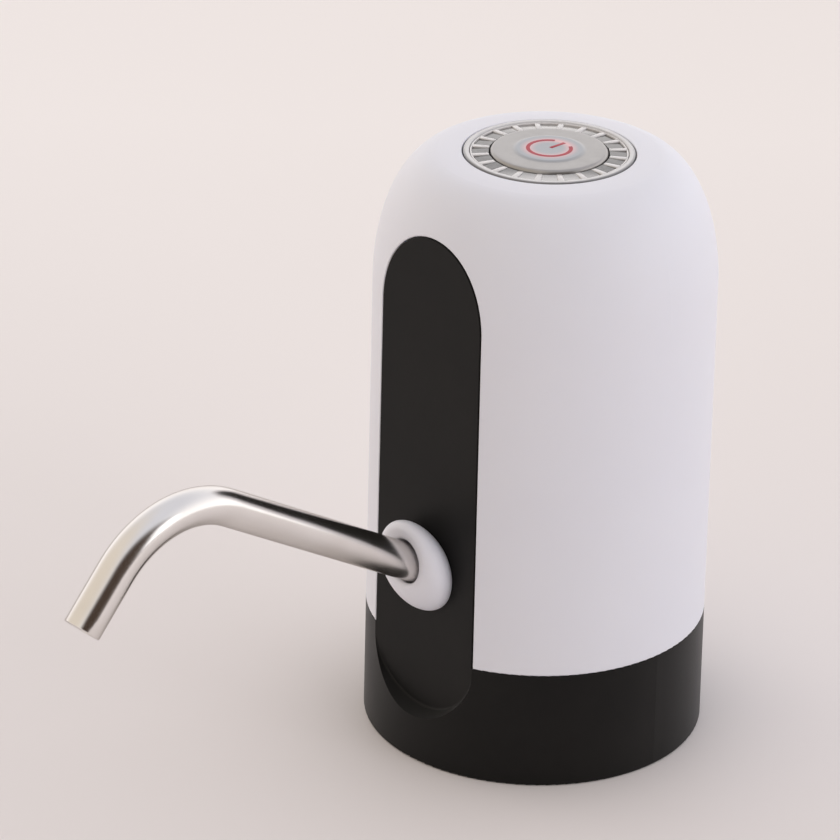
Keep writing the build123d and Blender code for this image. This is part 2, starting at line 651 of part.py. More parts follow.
def collar_section(depth):
    """Half width, half height and centre height of the spout collar at a depth."""
    if depth < COLLAR_WIDEST:
        pinch = 1.0 * ((COLLAR_WIDEST - depth) / 2.9) ** 2
    else:
        pinch = 4.1 * (1 - sqrt(1 - ((depth - COLLAR_WIDEST) / COLLAR_CROWN) ** 2))
    centre = 44.8 + COLLAR_CLIMB * (depth - SPOUT_DEPTH)
    return COLLAR_HALF_WIDTH - pinch, COLLAR_HALF_HEIGHT - pinch * 0.97, centre


with BuildPart() as spout_collar:
    for depth in (33.6, 35.3, 37.0, 38.4, 39.6, 40.5, COLLAR_DEPTH):
        half_width, half_height, centre = collar_section(depth)
        with BuildSketch(Plane.XZ.offset(depth)):
            with Locations((0, centre)):
                Ellipse(half_width, half_height)
    loft()
    block(FRONT, 60, 200, -20, mode=Mode.SUBTRACT)
    tube(SPOUT_PLANE.offset(-6.2), 6.0, 0, 9)
    tube(SPOUT_PLANE.offset(-10), COLLAR_BORE, 0, 30, mode=Mode.SUBTRACT)
    for depth, half_width, half_height, centre in (LIP_INNER, LIP_OUTER):
        with BuildSketch(Plane.XZ.offset(depth)):
            with Locations((0, centre)):
                Ellipse(half_width, half_height)
    loft(mode=Mode.SUBTRACT)
finish(spout_collar, "spout_collar", WHITE)

# ---------------------------------------------------------------- battery
with BuildPart() as battery_cell:
    tube(level(CELL_X, CELL_Y, CELL_LOW), CELL_RADIUS, 0, CELL_LENGTH)
    fillet(battery_cell.edges().filter_by(GeomType.CIRCLE), 0.8)
    tube(level(CELL_X, CELL_Y, CELL_LOW + CELL_LENGTH), 3.2, 0, 0.8)
finish(battery_cell, "battery_cell", GREEN)

with BuildPart() as battery_cradle:
    tube(level(CELL_X, CELL_Y, DECK_TOP), 10.5, 9.3, 62)
    block(Plane(origin=(CELL_X + 8.5, CELL_Y, DECK_TOP)), 12, 30, 80, mode=Mode.SUBTRACT)
    tube(level(CELL_X, CELL_Y, DECK_TOP), 10.5, 0, 3.7)
    for side in (-1, 1):
        tube(level(CELL_X + side * PEG_OFFSET, CELL_Y, PEG_LOW), 1.5, 0, 3)
finish(battery_cradle, "battery_cradle", BLACK)

with BuildPart() as battery_tabs:
    for height in (30.5, CELL_LOW + CELL_LENGTH + 0.85):
        with BuildSketch(level(CELL_X, CELL_Y, height)):
            SlotOverall(14, 5)
        extrude(amount=0.2)
finish(battery_tabs, "battery_tabs", STEEL)

# ---------------------------------------------------------------- charging port
BACK = Plane(origin=(0, CHARGE_BOARD_Y, 0), x_dir=(-1, 0, 0), z_dir=(0, 1, 0))

with BuildPart() as charging_board:
    with BuildSketch(BACK):
        with Locations((0, 50)):
            RectangleRounded(20.6, 28, 1)
        with Locations((-RAIL_X, 60), (RAIL_X, 60)):
            Circle(0.85, mode=Mode.SUBTRACT)
    extrude(amount=BOARD_THICKNESS)
finish(charging_board, "charging_board", GREEN)

with BuildPart() as charging_port:
    with BuildSketch(BACK.offset(BOARD_THICKNESS)):
        with Locations((0, PORT_HEIGHT)):
            SlotOverall(PORT_WIDTH, PORT_TALL)
    extrude(amount=PORT_MOUTH - CHARGE_BOARD_Y - BOARD_THICKNESS)
    with BuildSketch(BACK.offset(BOARD_THICKNESS + 0.6)):
        with Locations((0, PORT_HEIGHT)):
            SlotOverall(PORT_WIDTH - 0.6, PORT_TALL - 0.6)
    extrude(amount=10, mode=Mode.SUBTRACT)
finish(charging_port, "charging_port", STEEL)

with BuildPart() as charging_port_tongue:
    with BuildSketch(BACK.offset(BOARD_THICKNESS + 0.6)):
        with Locations((0, PORT_HEIGHT)):
            Rectangle(6.7, 0.7)
    extrude(amount=PORT_MOUTH - CHARGE_BOARD_Y - BOARD_THICKNESS - 1.4)
finish(charging_port_tongue, "charging_port_tongue", BLACK)

with BuildPart() as charging_board_screws:
    for side in (-1, 1):
        with BuildSketch(BACK.offset(-1.0)):
            with Locations((side * RAIL_X, 60)):
                Circle(1.5)
        extrude(amount=1.0)
        with BuildSketch(BACK):
            with Locations((side * RAIL_X, 60)):
                Circle(0.65)
        extrude(amount=5)
finish(charging_board_screws, "charging_board_screws", STEEL)

# ---------------------------------------------------------------- button and light ring
SLEEVE_TOP = 128.5
SLEEVE_INNER = 13.7
SLEEVE_OUTER = 14.8
CHAMBER_INNER = 18.9
GUIDE_OUTER = 20.3
GUIDE_LOW = BOARD_TOP + 0.05
BOARD_SCREW_CIRCLE = (SLEEVE_OUTER + CHAMBER_INNER) / 2

with BuildPart() as bezel_ring:
    turned(
        [
            (BEZEL_INNER, 128.05),
            (20.2, 128.05),
            (20.2, 129.5),
            (BEZEL_OUTER, 129.5),
            (BEZEL_OUTER, BEZEL_TOP - 0.4),
            (BEZEL_OUTER - 0.4, BEZEL_TOP),
            (BEZEL_INNER, BEZEL_TOP),
        ]
    )
finish(bezel_ring, "bezel_ring", CLEAR)

RING_LOW = 127.7
RING_TOP = 132.3
RIM_INNER = 16.4
FACET_INNER_TOP = 132.15
FACET_OUTER_TOP = 131.9
RIB_WIDTH = 0.9
RIB_TOP = 132.25

with BuildPart() as light_ring:
    turned(
        [
            (RING_INNER, RING_LOW),
            (SLEEVE_INNER - 0.1, RING_LOW),
            (SLEEVE_INNER - 0.1, SLEEVE_TOP + 0.05),
            (RING_OUTER, SLEEVE_TOP + 0.05),
            (RING_OUTER, RING_TOP),
            (RIM_INNER, RING_TOP),
            (RIM_INNER, FACET_OUTER_TOP),
            (RING_INNER, FACET_INNER_TOP),
        ]
    )
    # thin ribs that part the sloping top into facets
    with BuildSketch(level(0, 0, SLEEVE_TOP + 0.1)):
        with PolarLocations((RING_INNER + RIM_INNER) / 2 + 0.1, FACETS):
            Rectangle(RIM_INNER - RING_INNER, RIB_WIDTH)
    extrude(amount=RIB_TOP - SLEEVE_TOP - 0.1)
finish(light_ring, "light_ring", CLEAR)

# low round boss in the button's middle, with the power symbol inlaid in it
BOSS_FOOT = 7.9
BOSS_EDGE = 6.9
BOSS_TOP = 133.02
SYMBOL_RADIUS = 4.55
SYMBOL_STROKE = 0.85
SYMBOL_GAP = 30.0
SYMBOL_INLAY = 0.12
SYMBOL_RISE = 0.03

with BuildPart() as power_symbol:
    with BuildSketch(level(0, 0, BOSS_TOP - SYMBOL_INLAY)):
        with BuildLine():
            CenterArc((0, 0), SYMBOL_RADIUS, 90 + SYMBOL_GAP, 360 - 2 * SYMBOL_GAP)
        trace(line_width=SYMBOL_STROKE)
        with BuildLine():
            Line((0, 0.3), (0, SYMBOL_RADIUS))
        trace(line_width=SYMBOL_STROKE)
    extrude(amount=SYMBOL_INLAY + SYMBOL_RISE)
finish(power_symbol, "power_symbol", RED)

with BuildPart() as button_cap:
    turned(
        [
            (0, 130.6),
            (11.4, 130.6),
            (11.4, 126.5),
            (13.3, 126.5),
            (13.3, 127.6),
            (CAP_RADIUS, 127.6),
            (CAP_RADIUS, CAP_TOP),
            (0, CAP_TOP),
        ]
    )
    top_rim = button_cap.edges().filter_by(GeomType.CIRCLE).group_by(Axis.Z)[-1]
    fillet(top_rim, 0.8)
    turned([(0, CAP_TOP - 1), (BOSS_FOOT, CAP_TOP - 1), (BOSS_FOOT, CAP_TOP), (BOSS_EDGE, BOSS_TOP), (0, BOSS_TOP)])
    tube(level(0, 0, 124.35), 2.2, 0, 7)
    with BuildSketch(level(0, 0, 126.5)):
        Rectangle(22.9, 1.0)
        Rectangle(1.0, 22.9)
    extrude(amount=4.4)
    add(power_symbol.part, mode=Mode.SUBTRACT)
finish(button_cap, "button_cap", STEEL)

with BuildPart() as button_guide:
    tube(level(0, 0, GUIDE_LOW), SLEEVE_OUTER, SLEEVE_INNER, SLEEVE_TOP - GUIDE_LOW)
    tube(level(0, 0, GUIDE_LOW), GUIDE_OUTER, CHAMBER_INNER, 128.0 - GUIDE_LOW)
    tube(level(0, 0, GUIDE_LOW), GUIDE_OUTER, SLEEVE_INNER, 1.2)
    for angle in GUIDE_ANGLES:
        x, y = on_circle(1, angle)
        block(Plane(origin=(22 * x, 22 * y, 122.2)).rotated((0, 0, angle)), 5, 6, 1.9)
        tube(level(*on_circle(GUIDE_BOSS_CIRCLE, angle), 122.2), 3.0, 0, 1.9)
        tube(level(*on_circle(GUIDE_BOSS_CIRCLE, angle), 120), 1.2, 0, 6, mode=Mode.SUBTRACT)
        tube(level(*on_circle(BOARD_SCREW_CIRCLE, angle), GUIDE_LOW), 2.2, 0, 5)
        tube(level(*on_circle(BOARD_SCREW_CIRCLE, angle), 118), 0.8, 0, 5.6, mode=Mode.SUBTRACT)
        # windows above the lamps
        for turn_by in (40, 80):
            tube(level(*on_circle(BOARD_SCREW_CIRCLE, angle + turn_by), 118), 1.9, 0, 3, mode=Mode.SUBTRACT)
finish(button_guide, "button_guide", WHITE)

with BuildPart() as guide_screws:
    for angle in GUIDE_ANGLES:
        tube(level(*on_circle(GUIDE_BOSS_CIRCLE, angle), 120.8), 2.0, 0, 1.4)
        tube(level(*on_circle(GUIDE_BOSS_CIRCLE, angle), 122.2), 0.9, 0, 6)
finish(guide_screws, "guide_screws", STEEL)

with BuildPart() as control_board:
    tube(level(0, 0, BOARD_TOP - BOARD_THICKNESS), 20.2, 0, BOARD_THICKNESS)
    for angle in GUIDE_ANGLES:
        tube(level(*on_circle(BOARD_SCREW_CIRCLE, angle), 110), 0.8, 0, 15, mode=Mode.SUBTRACT)
        tube(level(*on_circle(GUIDE_BOSS_CIRCLE, angle), 110), 4.6, 0, 15, mode=Mode.SUBTRACT)
finish(control_board, "control_board", GREEN)

with BuildPart() as board_screws:
    for angle in GUIDE_ANGLES:
        tube(level(*on_circle(BOARD_SCREW_CIRCLE, angle), BOARD_TOP - BOARD_THICKNESS - 1.2), 1.5, 0, 1.2)
        tube(level(*on_circle(BOARD_SCREW_CIRCLE, angle), BOARD_TOP - BOARD_THICKNESS), 0.7, 0, 5.4)
finish(board_screws, "board_screws", STEEL)

with BuildPart() as indicator_lamps:
    for angle in GUIDE_ANGLES:
        for turn_by in (40, 80):
            x, y = on_circle(BOARD_SCREW_CIRCLE, angle + turn_by)
            block(level(x, y, BOARD_TOP), 2.4, 2.4, 0.9)
finish(indicator_lamps, "indicator_lamps", CLEAR)

with BuildPart() as button_switch:
    block(level(0, 0, BOARD_TOP), 6, 6, 3.2)
    tube(level(0, 0, BOARD_TOP + 2.0), 1.8, 0, 5, mode=Mode.SUBTRACT)
finish(button_switch, "button_switch", BLACK)

with BuildPart() as switch_plunger:
    tube(level(0, 0, BOARD_TOP + 2.6), 1.7, 0, 2.3)
finish(switch_plunger, "switch_plunger", BRASS)
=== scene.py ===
# %% [markdown]
# # A battery pump for a water jug
#
# The pump stands on a jug's neck: a black collar, a white housing with a flat black panel, a bent
# steel spout in a white ring, and a lit push button on top. Its solids come ready made as a fixed
# frame. This lesson gives every surface its finish, and models again the pieces whose shine shows
# every facet: the spout, its ring, the button, the red sign, the light ring and the clear bezel.

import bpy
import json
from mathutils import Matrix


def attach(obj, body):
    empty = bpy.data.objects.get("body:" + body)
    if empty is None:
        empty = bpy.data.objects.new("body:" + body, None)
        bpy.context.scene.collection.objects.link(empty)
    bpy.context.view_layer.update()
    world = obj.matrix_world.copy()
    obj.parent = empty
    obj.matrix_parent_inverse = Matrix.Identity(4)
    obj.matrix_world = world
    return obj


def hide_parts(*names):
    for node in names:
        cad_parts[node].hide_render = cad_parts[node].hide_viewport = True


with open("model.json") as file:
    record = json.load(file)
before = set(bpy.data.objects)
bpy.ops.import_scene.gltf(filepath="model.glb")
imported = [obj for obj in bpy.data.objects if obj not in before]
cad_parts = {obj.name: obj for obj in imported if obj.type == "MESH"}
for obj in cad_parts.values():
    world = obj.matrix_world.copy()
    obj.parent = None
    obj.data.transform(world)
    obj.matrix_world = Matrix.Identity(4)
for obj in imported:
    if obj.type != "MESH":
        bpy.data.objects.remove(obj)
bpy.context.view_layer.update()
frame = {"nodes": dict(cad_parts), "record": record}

# %% [markdown]
# ## Millimetres and millimetre points
#
# Blender works in metres and the pump is drawn in millimetres. One constant and one small
# function keep every size readable. Z is up, the pump's axis is at the origin, and the flat panel
# with the spout looks towards -Y.

# %% Units
import json
import math
from collections import namedtuple

import bmesh
import bpy
from mathutils import Matrix, Vector

MM = 0.001


def at(x, y, z):
    """A point given in millimetres."""
    return Vector((x, y, z)) * MM


# %% [markdown]
# ## Working ring by ring
#
# Most of these pieces are round, so they are drawn the way a potter pulls a pot: one ring of
# points, extruded and resized again and again. An operator acts on whatever is selected, and
# loading leaves the solids selected, so each piece begins by letting go of everything.

# %% Start a ring and pull it up
def let_go():
    """Leave edit mode and deselect everything."""
    if bpy.context.mode != "OBJECT":
        bpy.ops.object.mode_set(mode="OBJECT")
    bpy.ops.object.select_all(action="DESELECT")


def edit_all():
    """Open the active piece in edit mode with all of it selected."""
    bpy.ops.object.mode_set(mode="EDIT")
    bpy.ops.mesh.select_all(action="SELECT")


def start_ring(name, sides, radius, centre, tilt=0.0):
    """Add a circle, tilted about X, and open it in edit mode with all of it selected."""
    let_go()
    bpy.ops.mesh.primitive_circle_add(
        vertices=sides, radius=radius * MM, location=centre, rotation=(tilt, 0, 0)
    )
    piece = bpy.context.object
    piece.name = piece.data.name = name
    bpy.ops.object.transform_apply(location=True, rotation=True, scale=True)
    edit_all()
    return piece


def pull_rings(profile):
    """Extrude the selected level ring through (radius, height) stations about the Z axis."""
    for (radius, height), (next_radius, next_height) in zip(profile, profile[1:]):
        bpy.ops.mesh.extrude_region_move(
            TRANSFORM_OT_translate={"value": at(0, 0, next_height - height)}
        )
        grow = next_radius / radius
        bpy.ops.transform.resize(value=(grow, grow, 1), center_override=at(0, 0, next_height))


def turned_ring(name, sides, profile):
    """Start a level ring at a profile's first station and pull it through the rest."""
    radius, height = profile[0]
    piece = start_ring(name, sides, radius, at(0, 0, height))
    pull_rings(profile)
    return piece


ROUND_SIDES = 160
print("a ring of", ROUND_SIDES, "sides looks round at this size")

# %% [markdown]
# ## Closing, rounding and joining
#
# A pulled mesh meets itself where the profile ends, so it is welded first and its faces are then
# pointed outwards. Smooth shading stops at sharp edges. Small edge rounds come from a Bevel
# modifier, applied at once, because a real edge is never perfectly sharp and its thin highlight
# is what tells the eye that a thing is solid.

# %% Close, round and join pieces
WELD = 0.002


def smooth(below):
    """Shade the selected piece smooth where its faces meet at under so many degrees."""
    bpy.ops.object.shade_smooth_by_angle(angle=math.radians(below))


def close_mesh(piece, smooth_below=40):
    """Weld the piece, point its faces outwards, leave edit mode and shade it."""
    bpy.ops.mesh.select_all(action="SELECT")
    bpy.ops.mesh.remove_doubles(threshold=WELD * MM)
    bpy.ops.mesh.normals_make_consistent(inside=False)
    bpy.ops.object.mode_set(mode="OBJECT")
    smooth(smooth_below)
    print(piece.name, "has", len(piece.data.polygons), "faces")


def apply_modifier(piece, kind, **settings):
    """Add one modifier and apply it."""
    modifier = piece.modifiers.new(kind.title(), kind)
    for name, value in settings.items():
        setattr(modifier, name, value)
    bpy.context.view_layer.objects.active = piece
    bpy.ops.object.modifier_apply(modifier=modifier.name)


def round_edges(piece, width, segments, above):
    """Round the edges whose faces meet at more than so many degrees."""
    apply_modifier(
        piece, "BEVEL", width=width * MM, segments=segments,
        limit_method="ANGLE", angle_limit=math.radians(above),
    )


def add_block(name, size, centre):
    """Add a cube stretched to a size in millimetres, with its place in its mesh."""
    let_go()
    bpy.ops.mesh.primitive_cube_add(size=MM)
    piece = bpy.context.object
    piece.name = piece.data.name = name
    piece.scale = size
    piece.location = centre
    bpy.ops.object.transform_apply(location=True, rotation=True, scale=True)
    return piece


def join_into(base, *others):
    """Join other pieces into a base piece."""
    let_go()
    for piece in (base, *others):
        piece.select_set(True)
    bpy.context.view_layer.objects.active = base
    bpy.ops.object.join()


print("points closer than", WELD, "mm are welded")

# %% [markdown]
# ## The bent spout
#
# The real spout is a stainless tube, 8 mm across with a 0.6 mm wall, cut square and bent on a
# mandrel. It could be a curve with a bevel, but a curve hides its wall. Here a ring is extruded
# up the long leg, spun round the bender's centre, extruded to the tip, and then given its wall
# by a Solidify modifier and its deburred rims by a Bevel modifier.

# %% Measure out the spout
SPOUT_DEPTH = 34.1  # the axis crosses the panel so far in front of the pump's axis
SPOUT_HEIGHT = 45.5
SPOUT_LEAN = math.radians(30.1)
SPOUT_BEND = math.radians(78.0)
SPOUT_RADIUS = 4.0
SPOUT_WALL = 0.6
ROOT_DEPTH = 17.0
LEG_LENGTH = 64.96
BEND_RADIUS = 24.0
TIP_LENGTH = 13.4

spout_foot = at(0, -SPOUT_DEPTH, SPOUT_HEIGHT)
leg_way = Vector((0, -math.cos(SPOUT_LEAN), math.sin(SPOUT_LEAN)))
leg_side = Vector((0, -math.sin(SPOUT_LEAN), -math.cos(SPOUT_LEAN)))
bend_start = spout_foot + leg_way * LEG_LENGTH * MM
bend_centre = bend_start + leg_side * BEND_RADIUS * MM
tip_lean = SPOUT_LEAN - SPOUT_BEND
tip_way = Vector((0, -math.cos(tip_lean), math.sin(tip_lean)))
tube_length = ROOT_DEPTH + LEG_LENGTH + SPOUT_BEND * BEND_RADIUS + TIP_LENGTH
print("the tube is", round(tube_length, 1), "mm long before it is bent")

# %% [markdown]
# ## Pulling and bending the tube
#
# A ring that is extruded straight keeps its shape, and Spin carries it round a point as the
# bender's former does, so nothing has to be twisted or scaled. The long leg is pulled in many
# short lengths, because the lines of its finish are stored point by point.

# %% Model the spout
SPOUT_SIDES = 64
RIM_ROUND = 0.22


def extrude_run(way, length, steps):
    """Extrude the selected ring straight on, in several steps."""
    for _ in range(steps):
        bpy.ops.mesh.extrude_region_move(
            TRANSFORM_OT_translate={"value": way * (length / steps) * MM}
        )


spout_root = spout_foot - leg_way * ROOT_DEPTH * MM
spout = start_ring(
    "spout", SPOUT_SIDES, SPOUT_RADIUS, spout_root, tilt=math.radians(90) - SPOUT_LEAN
)
extrude_run(leg_way, ROOT_DEPTH + LEG_LENGTH, steps=20)
bpy.ops.mesh.spin(steps=36, angle=SPOUT_BEND, center=bend_centre, axis=(-1, 0, 0))
extrude_run(tip_way, TIP_LENGTH, steps=4)
close_mesh(spout)
apply_modifier(spout, "SOLIDIFY", thickness=SPOUT_WALL * MM, offset=-1, use_even_offset=True)
round_edges(spout, RIM_ROUND, segments=4, above=60)
smooth(50)
spout_tip = min((vertex.co for vertex in spout.data.vertices), key=lambda place: place.y)
print("the spout's tip reaches", [round(v / MM, 2) for v in spout_tip])
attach(spout, "spout")
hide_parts("spout_tube")

# %% [markdown]
# ## Lines that follow the bend
#
# Drawn tube carries faint lines along its length. They have to follow the bend, so each point
# stores where it lies round the tube and how far along it, and the finish reads that attribute
# instead of plain coordinates.

# %% Store where each point lies on the tube
def place_on_tube(point):
    """Unit direction round the tube and distance along it, in millimetres."""
    from_bend = point - bend_centre
    angle = math.atan2(from_bend.dot(leg_way), -from_bend.dot(leg_side))
    if angle <= 0:
        distance = (point - bend_start).dot(leg_way) / MM
        outwards = -leg_side
    elif angle < SPOUT_BEND:
        distance = angle * BEND_RADIUS
        outwards = leg_way * math.sin(angle) - leg_side * math.cos(angle)
    else:
        distance = SPOUT_BEND * BEND_RADIUS + from_bend.dot(tip_way) / MM
        outwards = leg_way * math.sin(SPOUT_BEND) - leg_side * math.cos(SPOUT_BEND)
    axis_offset = from_bend.dot(outwards) - BEND_RADIUS * MM
    round_it = Vector((point.x, axis_offset)).normalized()
    return round_it.x, round_it.y, distance


lie = spout.data.attributes.new("lie", "FLOAT_VECTOR", "POINT")
for vertex in spout.data.vertices:
    lie.data[vertex.index].vector = place_on_tube(vertex.co)
print("stored", len(lie.data), "places on the tube")

# %% [markdown]
# ## The white ring round the spout's root
#
# This moulding is a soft, leaning ring: an oval at the panel that climbs as it comes forward and
# closes in over a rounded lip to the mouth. A torus would be too regular. One ring of points is
# led round the whole section instead, from the bore, out behind the panel, over the crown and
# back into the bore, where it meets itself. First come the kinds of oval that the path uses.

# %% Ovals of the spout's ring
Oval = namedtuple("Oval", "depth height half_width half_height")
COLLAR_FOOT = 44.8  # height of the outside's middle at the panel
COLLAR_CLIMB = 0.715
COLLAR_HALF_WIDTH = 9.4
COLLAR_HALF_HEIGHT = 10.0
TALL_PINCH = 0.97  # the height closes in a little less than the width


def bore_oval(depth, radius):
    """Oval that a round bore along the spout's axis makes in an upright plane."""
    height = SPOUT_HEIGHT + (depth - SPOUT_DEPTH) * math.tan(SPOUT_LEAN)
    return Oval(depth, height, radius, radius / math.cos(SPOUT_LEAN))


def outside_oval(depth, pinch):
    """Oval of the outside, closed in by a pinch."""
    height = COLLAR_FOOT + COLLAR_CLIMB * (depth - SPOUT_DEPTH)
    return Oval(
        depth, height, COLLAR_HALF_WIDTH - pinch, COLLAR_HALF_HEIGHT - TALL_PINCH * pinch
    )


def between(first, second, share):
    """Oval part of the way from one to another."""
    return Oval(*(a + (b - a) * share for a, b in zip(first, second)))


print("the outside starts as", outside_oval(SPOUT_DEPTH, 0))

# %% [markdown]
# ## The path through the ovals
#
# The section is written down as a list of ovals, each a little further round it. Behind the
# widest oval the flank swells as a parabola. In front of it the crown turns over as an ellipse
# does, and from its crest the lip sinks into the mouth along another ellipse.

# %% Path of the spout's ring
PANEL_DEPTH = 34.15
SPIGOT_DEPTH = 29.4
SPIGOT_RADIUS = 5.95
BORE_RADIUS = 4.4
WIDEST_DEPTH = 37.0
BACK_SWELL = 2.9
CROWN_DEPTH = 3.95
CROWN_PINCH = 4.1
MOUTH = Oval(39.9, 48.9, 4.42, 5.12)

ovals = [bore_oval(SPIGOT_DEPTH, BORE_RADIUS), bore_oval(SPIGOT_DEPTH, SPIGOT_RADIUS)]
ovals.append(bore_oval(PANEL_DEPTH, SPIGOT_RADIUS))
for depth in (PANEL_DEPTH, 34.5, 35.2, 36.0):
    ovals.append(outside_oval(depth, ((WIDEST_DEPTH - depth) / BACK_SWELL) ** 2))
for angle in range(0, 77, 4):
    swing = math.radians(angle)
    crown_depth = WIDEST_DEPTH + CROWN_DEPTH * math.sin(swing)
    ovals.append(outside_oval(crown_depth, CROWN_PINCH * (1 - math.cos(swing))))
crest = ovals[-1]
for angle in range(10, 91, 10):
    swing = math.radians(angle)
    sunk = (crest.depth - MOUTH.depth) * (1 - math.cos(swing))
    ovals.append(between(crest, MOUTH, math.sin(swing))._replace(depth=crest.depth - sunk))
ovals += [bore_oval(38.5, BORE_RADIUS), bore_oval(34.0, BORE_RADIUS), ovals[0]]
print("the ring is led through", len(ovals), "ovals, foremost at", round(crest.depth, 2), "mm")

# %% [markdown]
# ## Leading the ring along the path
#
# Each step extrudes the ring in place, resizes it to the next oval's proportions about its own
# middle, and moves it there. The start is a circle of 1 mm radius, stretched to the first oval.

# %% Model the spout's ring
def lead_ring(path):
    """Extrude the selected upright ring through a path of ovals."""
    for now, then in zip(path, path[1:]):
        bpy.ops.mesh.extrude_region_move()
        bpy.ops.transform.resize(
            value=(then.half_width / now.half_width, 1, then.half_height / now.half_height),
            center_override=at(0, -now.depth, now.height),
        )
        bpy.ops.transform.translate(value=at(0, now.depth - then.depth, then.height - now.height))


first = ovals[0]
first_centre = at(0, -first.depth, first.height)
spout_ring = start_ring("spout_ring", 96, 1.0, first_centre, tilt=math.radians(90))
bpy.ops.transform.resize(
    value=(first.half_width, 1, first.half_height), center_override=first_centre
)
lead_ring(ovals)
close_mesh(spout_ring, smooth_below=50)
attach(spout_ring, "housing")
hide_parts("spout_collar")

# %% [markdown]
# ## The push button
#
# The button is a turned cap with a low boss in its middle that carries the power sign. Its
# profile is pulled ring by ring from the underside, round the guide flange, up the wall, over a
# rounded rim and in to the boss, whose flank is eased so that it catches light softly. The
# innermost rings end in a tiny hole, which is merged to a point.

# %% Draw the button's profile
CAP_TOP = 132.8
CAP_RADIUS = 12.5
CAP_ROUND = 0.8
CAP_CEILING = 130.6  # underside of the face
SKIRT_INNER = 11.4
FLANGE_RADIUS = 13.3
FLANGE_LOW = 126.5
FLANGE_TOP = 127.6
CHAMFER = 0.1
BOSS_FOOT = 8.0
BOSS_EDGE = 6.8
BOSS_TOP = 133.02


def face_height(radius):
    """Height of the button's face at a radius: flat, a soft flank, and the boss."""
    share = min(max((BOSS_FOOT - radius) / (BOSS_FOOT - BOSS_EDGE), 0.0), 1.0)
    return CAP_TOP + (BOSS_TOP - CAP_TOP) * share * share * (3 - 2 * share)


def arc_stations(middle, across, up, start, end, steps):
    """(radius, height) stations on an elliptical arc round a middle, angles in degrees."""
    stations = []
    for step in range(steps + 1):
        angle = math.radians(start + (end - start) * step / steps)
        stations.append((middle[0] + across * math.cos(angle), middle[1] + up * math.sin(angle)))
    return stations


cap_profile = [
    (0.4, CAP_CEILING), (6.0, CAP_CEILING), (SKIRT_INNER, CAP_CEILING),
    (SKIRT_INNER, FLANGE_LOW + CHAMFER), (SKIRT_INNER + CHAMFER, FLANGE_LOW),
    (FLANGE_RADIUS - CHAMFER, FLANGE_LOW), (FLANGE_RADIUS, FLANGE_LOW + CHAMFER),
    (FLANGE_RADIUS, FLANGE_TOP - CHAMFER), (FLANGE_RADIUS - CHAMFER, FLANGE_TOP),
    (CAP_RADIUS + CHAMFER, FLANGE_TOP), (CAP_RADIUS, FLANGE_TOP + CHAMFER),
]
rim_middle = (CAP_RADIUS - CAP_ROUND, CAP_TOP - CAP_ROUND)
cap_profile += arc_stations(rim_middle, CAP_ROUND, CAP_ROUND, 0, 90, 12)
face_radii = [11.0, 10.0, 9.0]
face_radii += [tenths / 10 for tenths in range(80, 65, -1)]
face_radii += [6.0, 4.5, 3.0, 1.5, 0.4]
cap_profile += [(radius, face_height(radius)) for radius in face_radii]
print("the button's profile has", len(cap_profile), "stations")

# %% [markdown]
# ## Turning the button
#
# On a lathe the profile would be cut from a bar; here it is pulled. Both ends of the profile stop
# just short of the axis, because a ring can't be resized to nothing, and the two small holes that
# are left are merged to points. The hole under the face is picked by its place, since operators
# only work on what is selected.

# %% Model the button cap
button = turned_ring("button", ROUND_SIDES, cap_profile)
bpy.ops.mesh.merge(type="CENTER")
bpy.ops.mesh.select_all(action="DESELECT")
drawn = bmesh.from_edit_mesh(button.data)
for vertex in drawn.verts:
    on_ceiling = abs(vertex.co.z - CAP_CEILING * MM) < 0.01 * MM
    vertex.select = on_ceiling and vertex.co.xy.length < 1.0 * MM
drawn.select_flush_mode()
bpy.ops.mesh.merge(type="CENTER")
close_mesh(button, smooth_below=30)
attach(button, "button")
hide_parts("button_cap")

# %% [markdown]
# ## The power sign
#
# A broken ring and a bar, inlaid in red. The ring is one small upright rectangle spun round the
# axis, and the bar is a stretched cube. Spin turns clockwise about its axis, so the axis points
# down to sweep the ring the usual way. A small bevel rounds the enamel's edges.

# %% Model the sign's ring
SIGN_RADIUS = 4.55
SIGN_STROKE = 0.85
SIGN_GAP = math.radians(30)  # half of the opening
SIGN_LIFT = 0.03
SIGN_DEPTH = 0.12
sign_tall = SIGN_LIFT + SIGN_DEPTH
sign_middle = BOSS_TOP + (SIGN_LIFT - SIGN_DEPTH) / 2

let_go()
bpy.ops.mesh.primitive_plane_add(size=MM, rotation=(math.radians(90), 0, 0))
sign = bpy.context.object
sign.name = sign.data.name = "power_sign"
sign.scale = (SIGN_STROKE, sign_tall, 1)
sign.location = at(SIGN_RADIUS, 0, sign_middle)
bpy.ops.object.transform_apply(location=True, rotation=True, scale=True)
sign.rotation_euler.z = math.radians(90) + SIGN_GAP
bpy.ops.object.transform_apply(rotation=True)
edit_all()
bpy.ops.mesh.spin(
    steps=100, angle=2 * math.pi - 2 * SIGN_GAP, center=(0, 0, 0), axis=(0, 0, -1)
)
close_mesh(sign)

# %% [markdown]
# ## The bar of the sign
#
# The bar is the same enamel as the ring and sinks as deep, so it is joined to it before the
# edges are rounded, and both get the same bevel.

# %% Add the sign's bar
BAR_START = 0.3
BAR_END = SIGN_RADIUS
ENAMEL_ROUND = 0.025

bar = add_block(
    "bar",
    (SIGN_STROKE, BAR_END - BAR_START, sign_tall),
    at(0, (BAR_START + BAR_END) / 2, sign_middle),
)
join_into(sign, bar)
round_edges(sign, ENAMEL_ROUND, segments=2, above=50)
smooth(50)
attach(sign, "button")
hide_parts("power_symbol")
print("the sign stands", SIGN_LIFT, "mm proud of the boss")

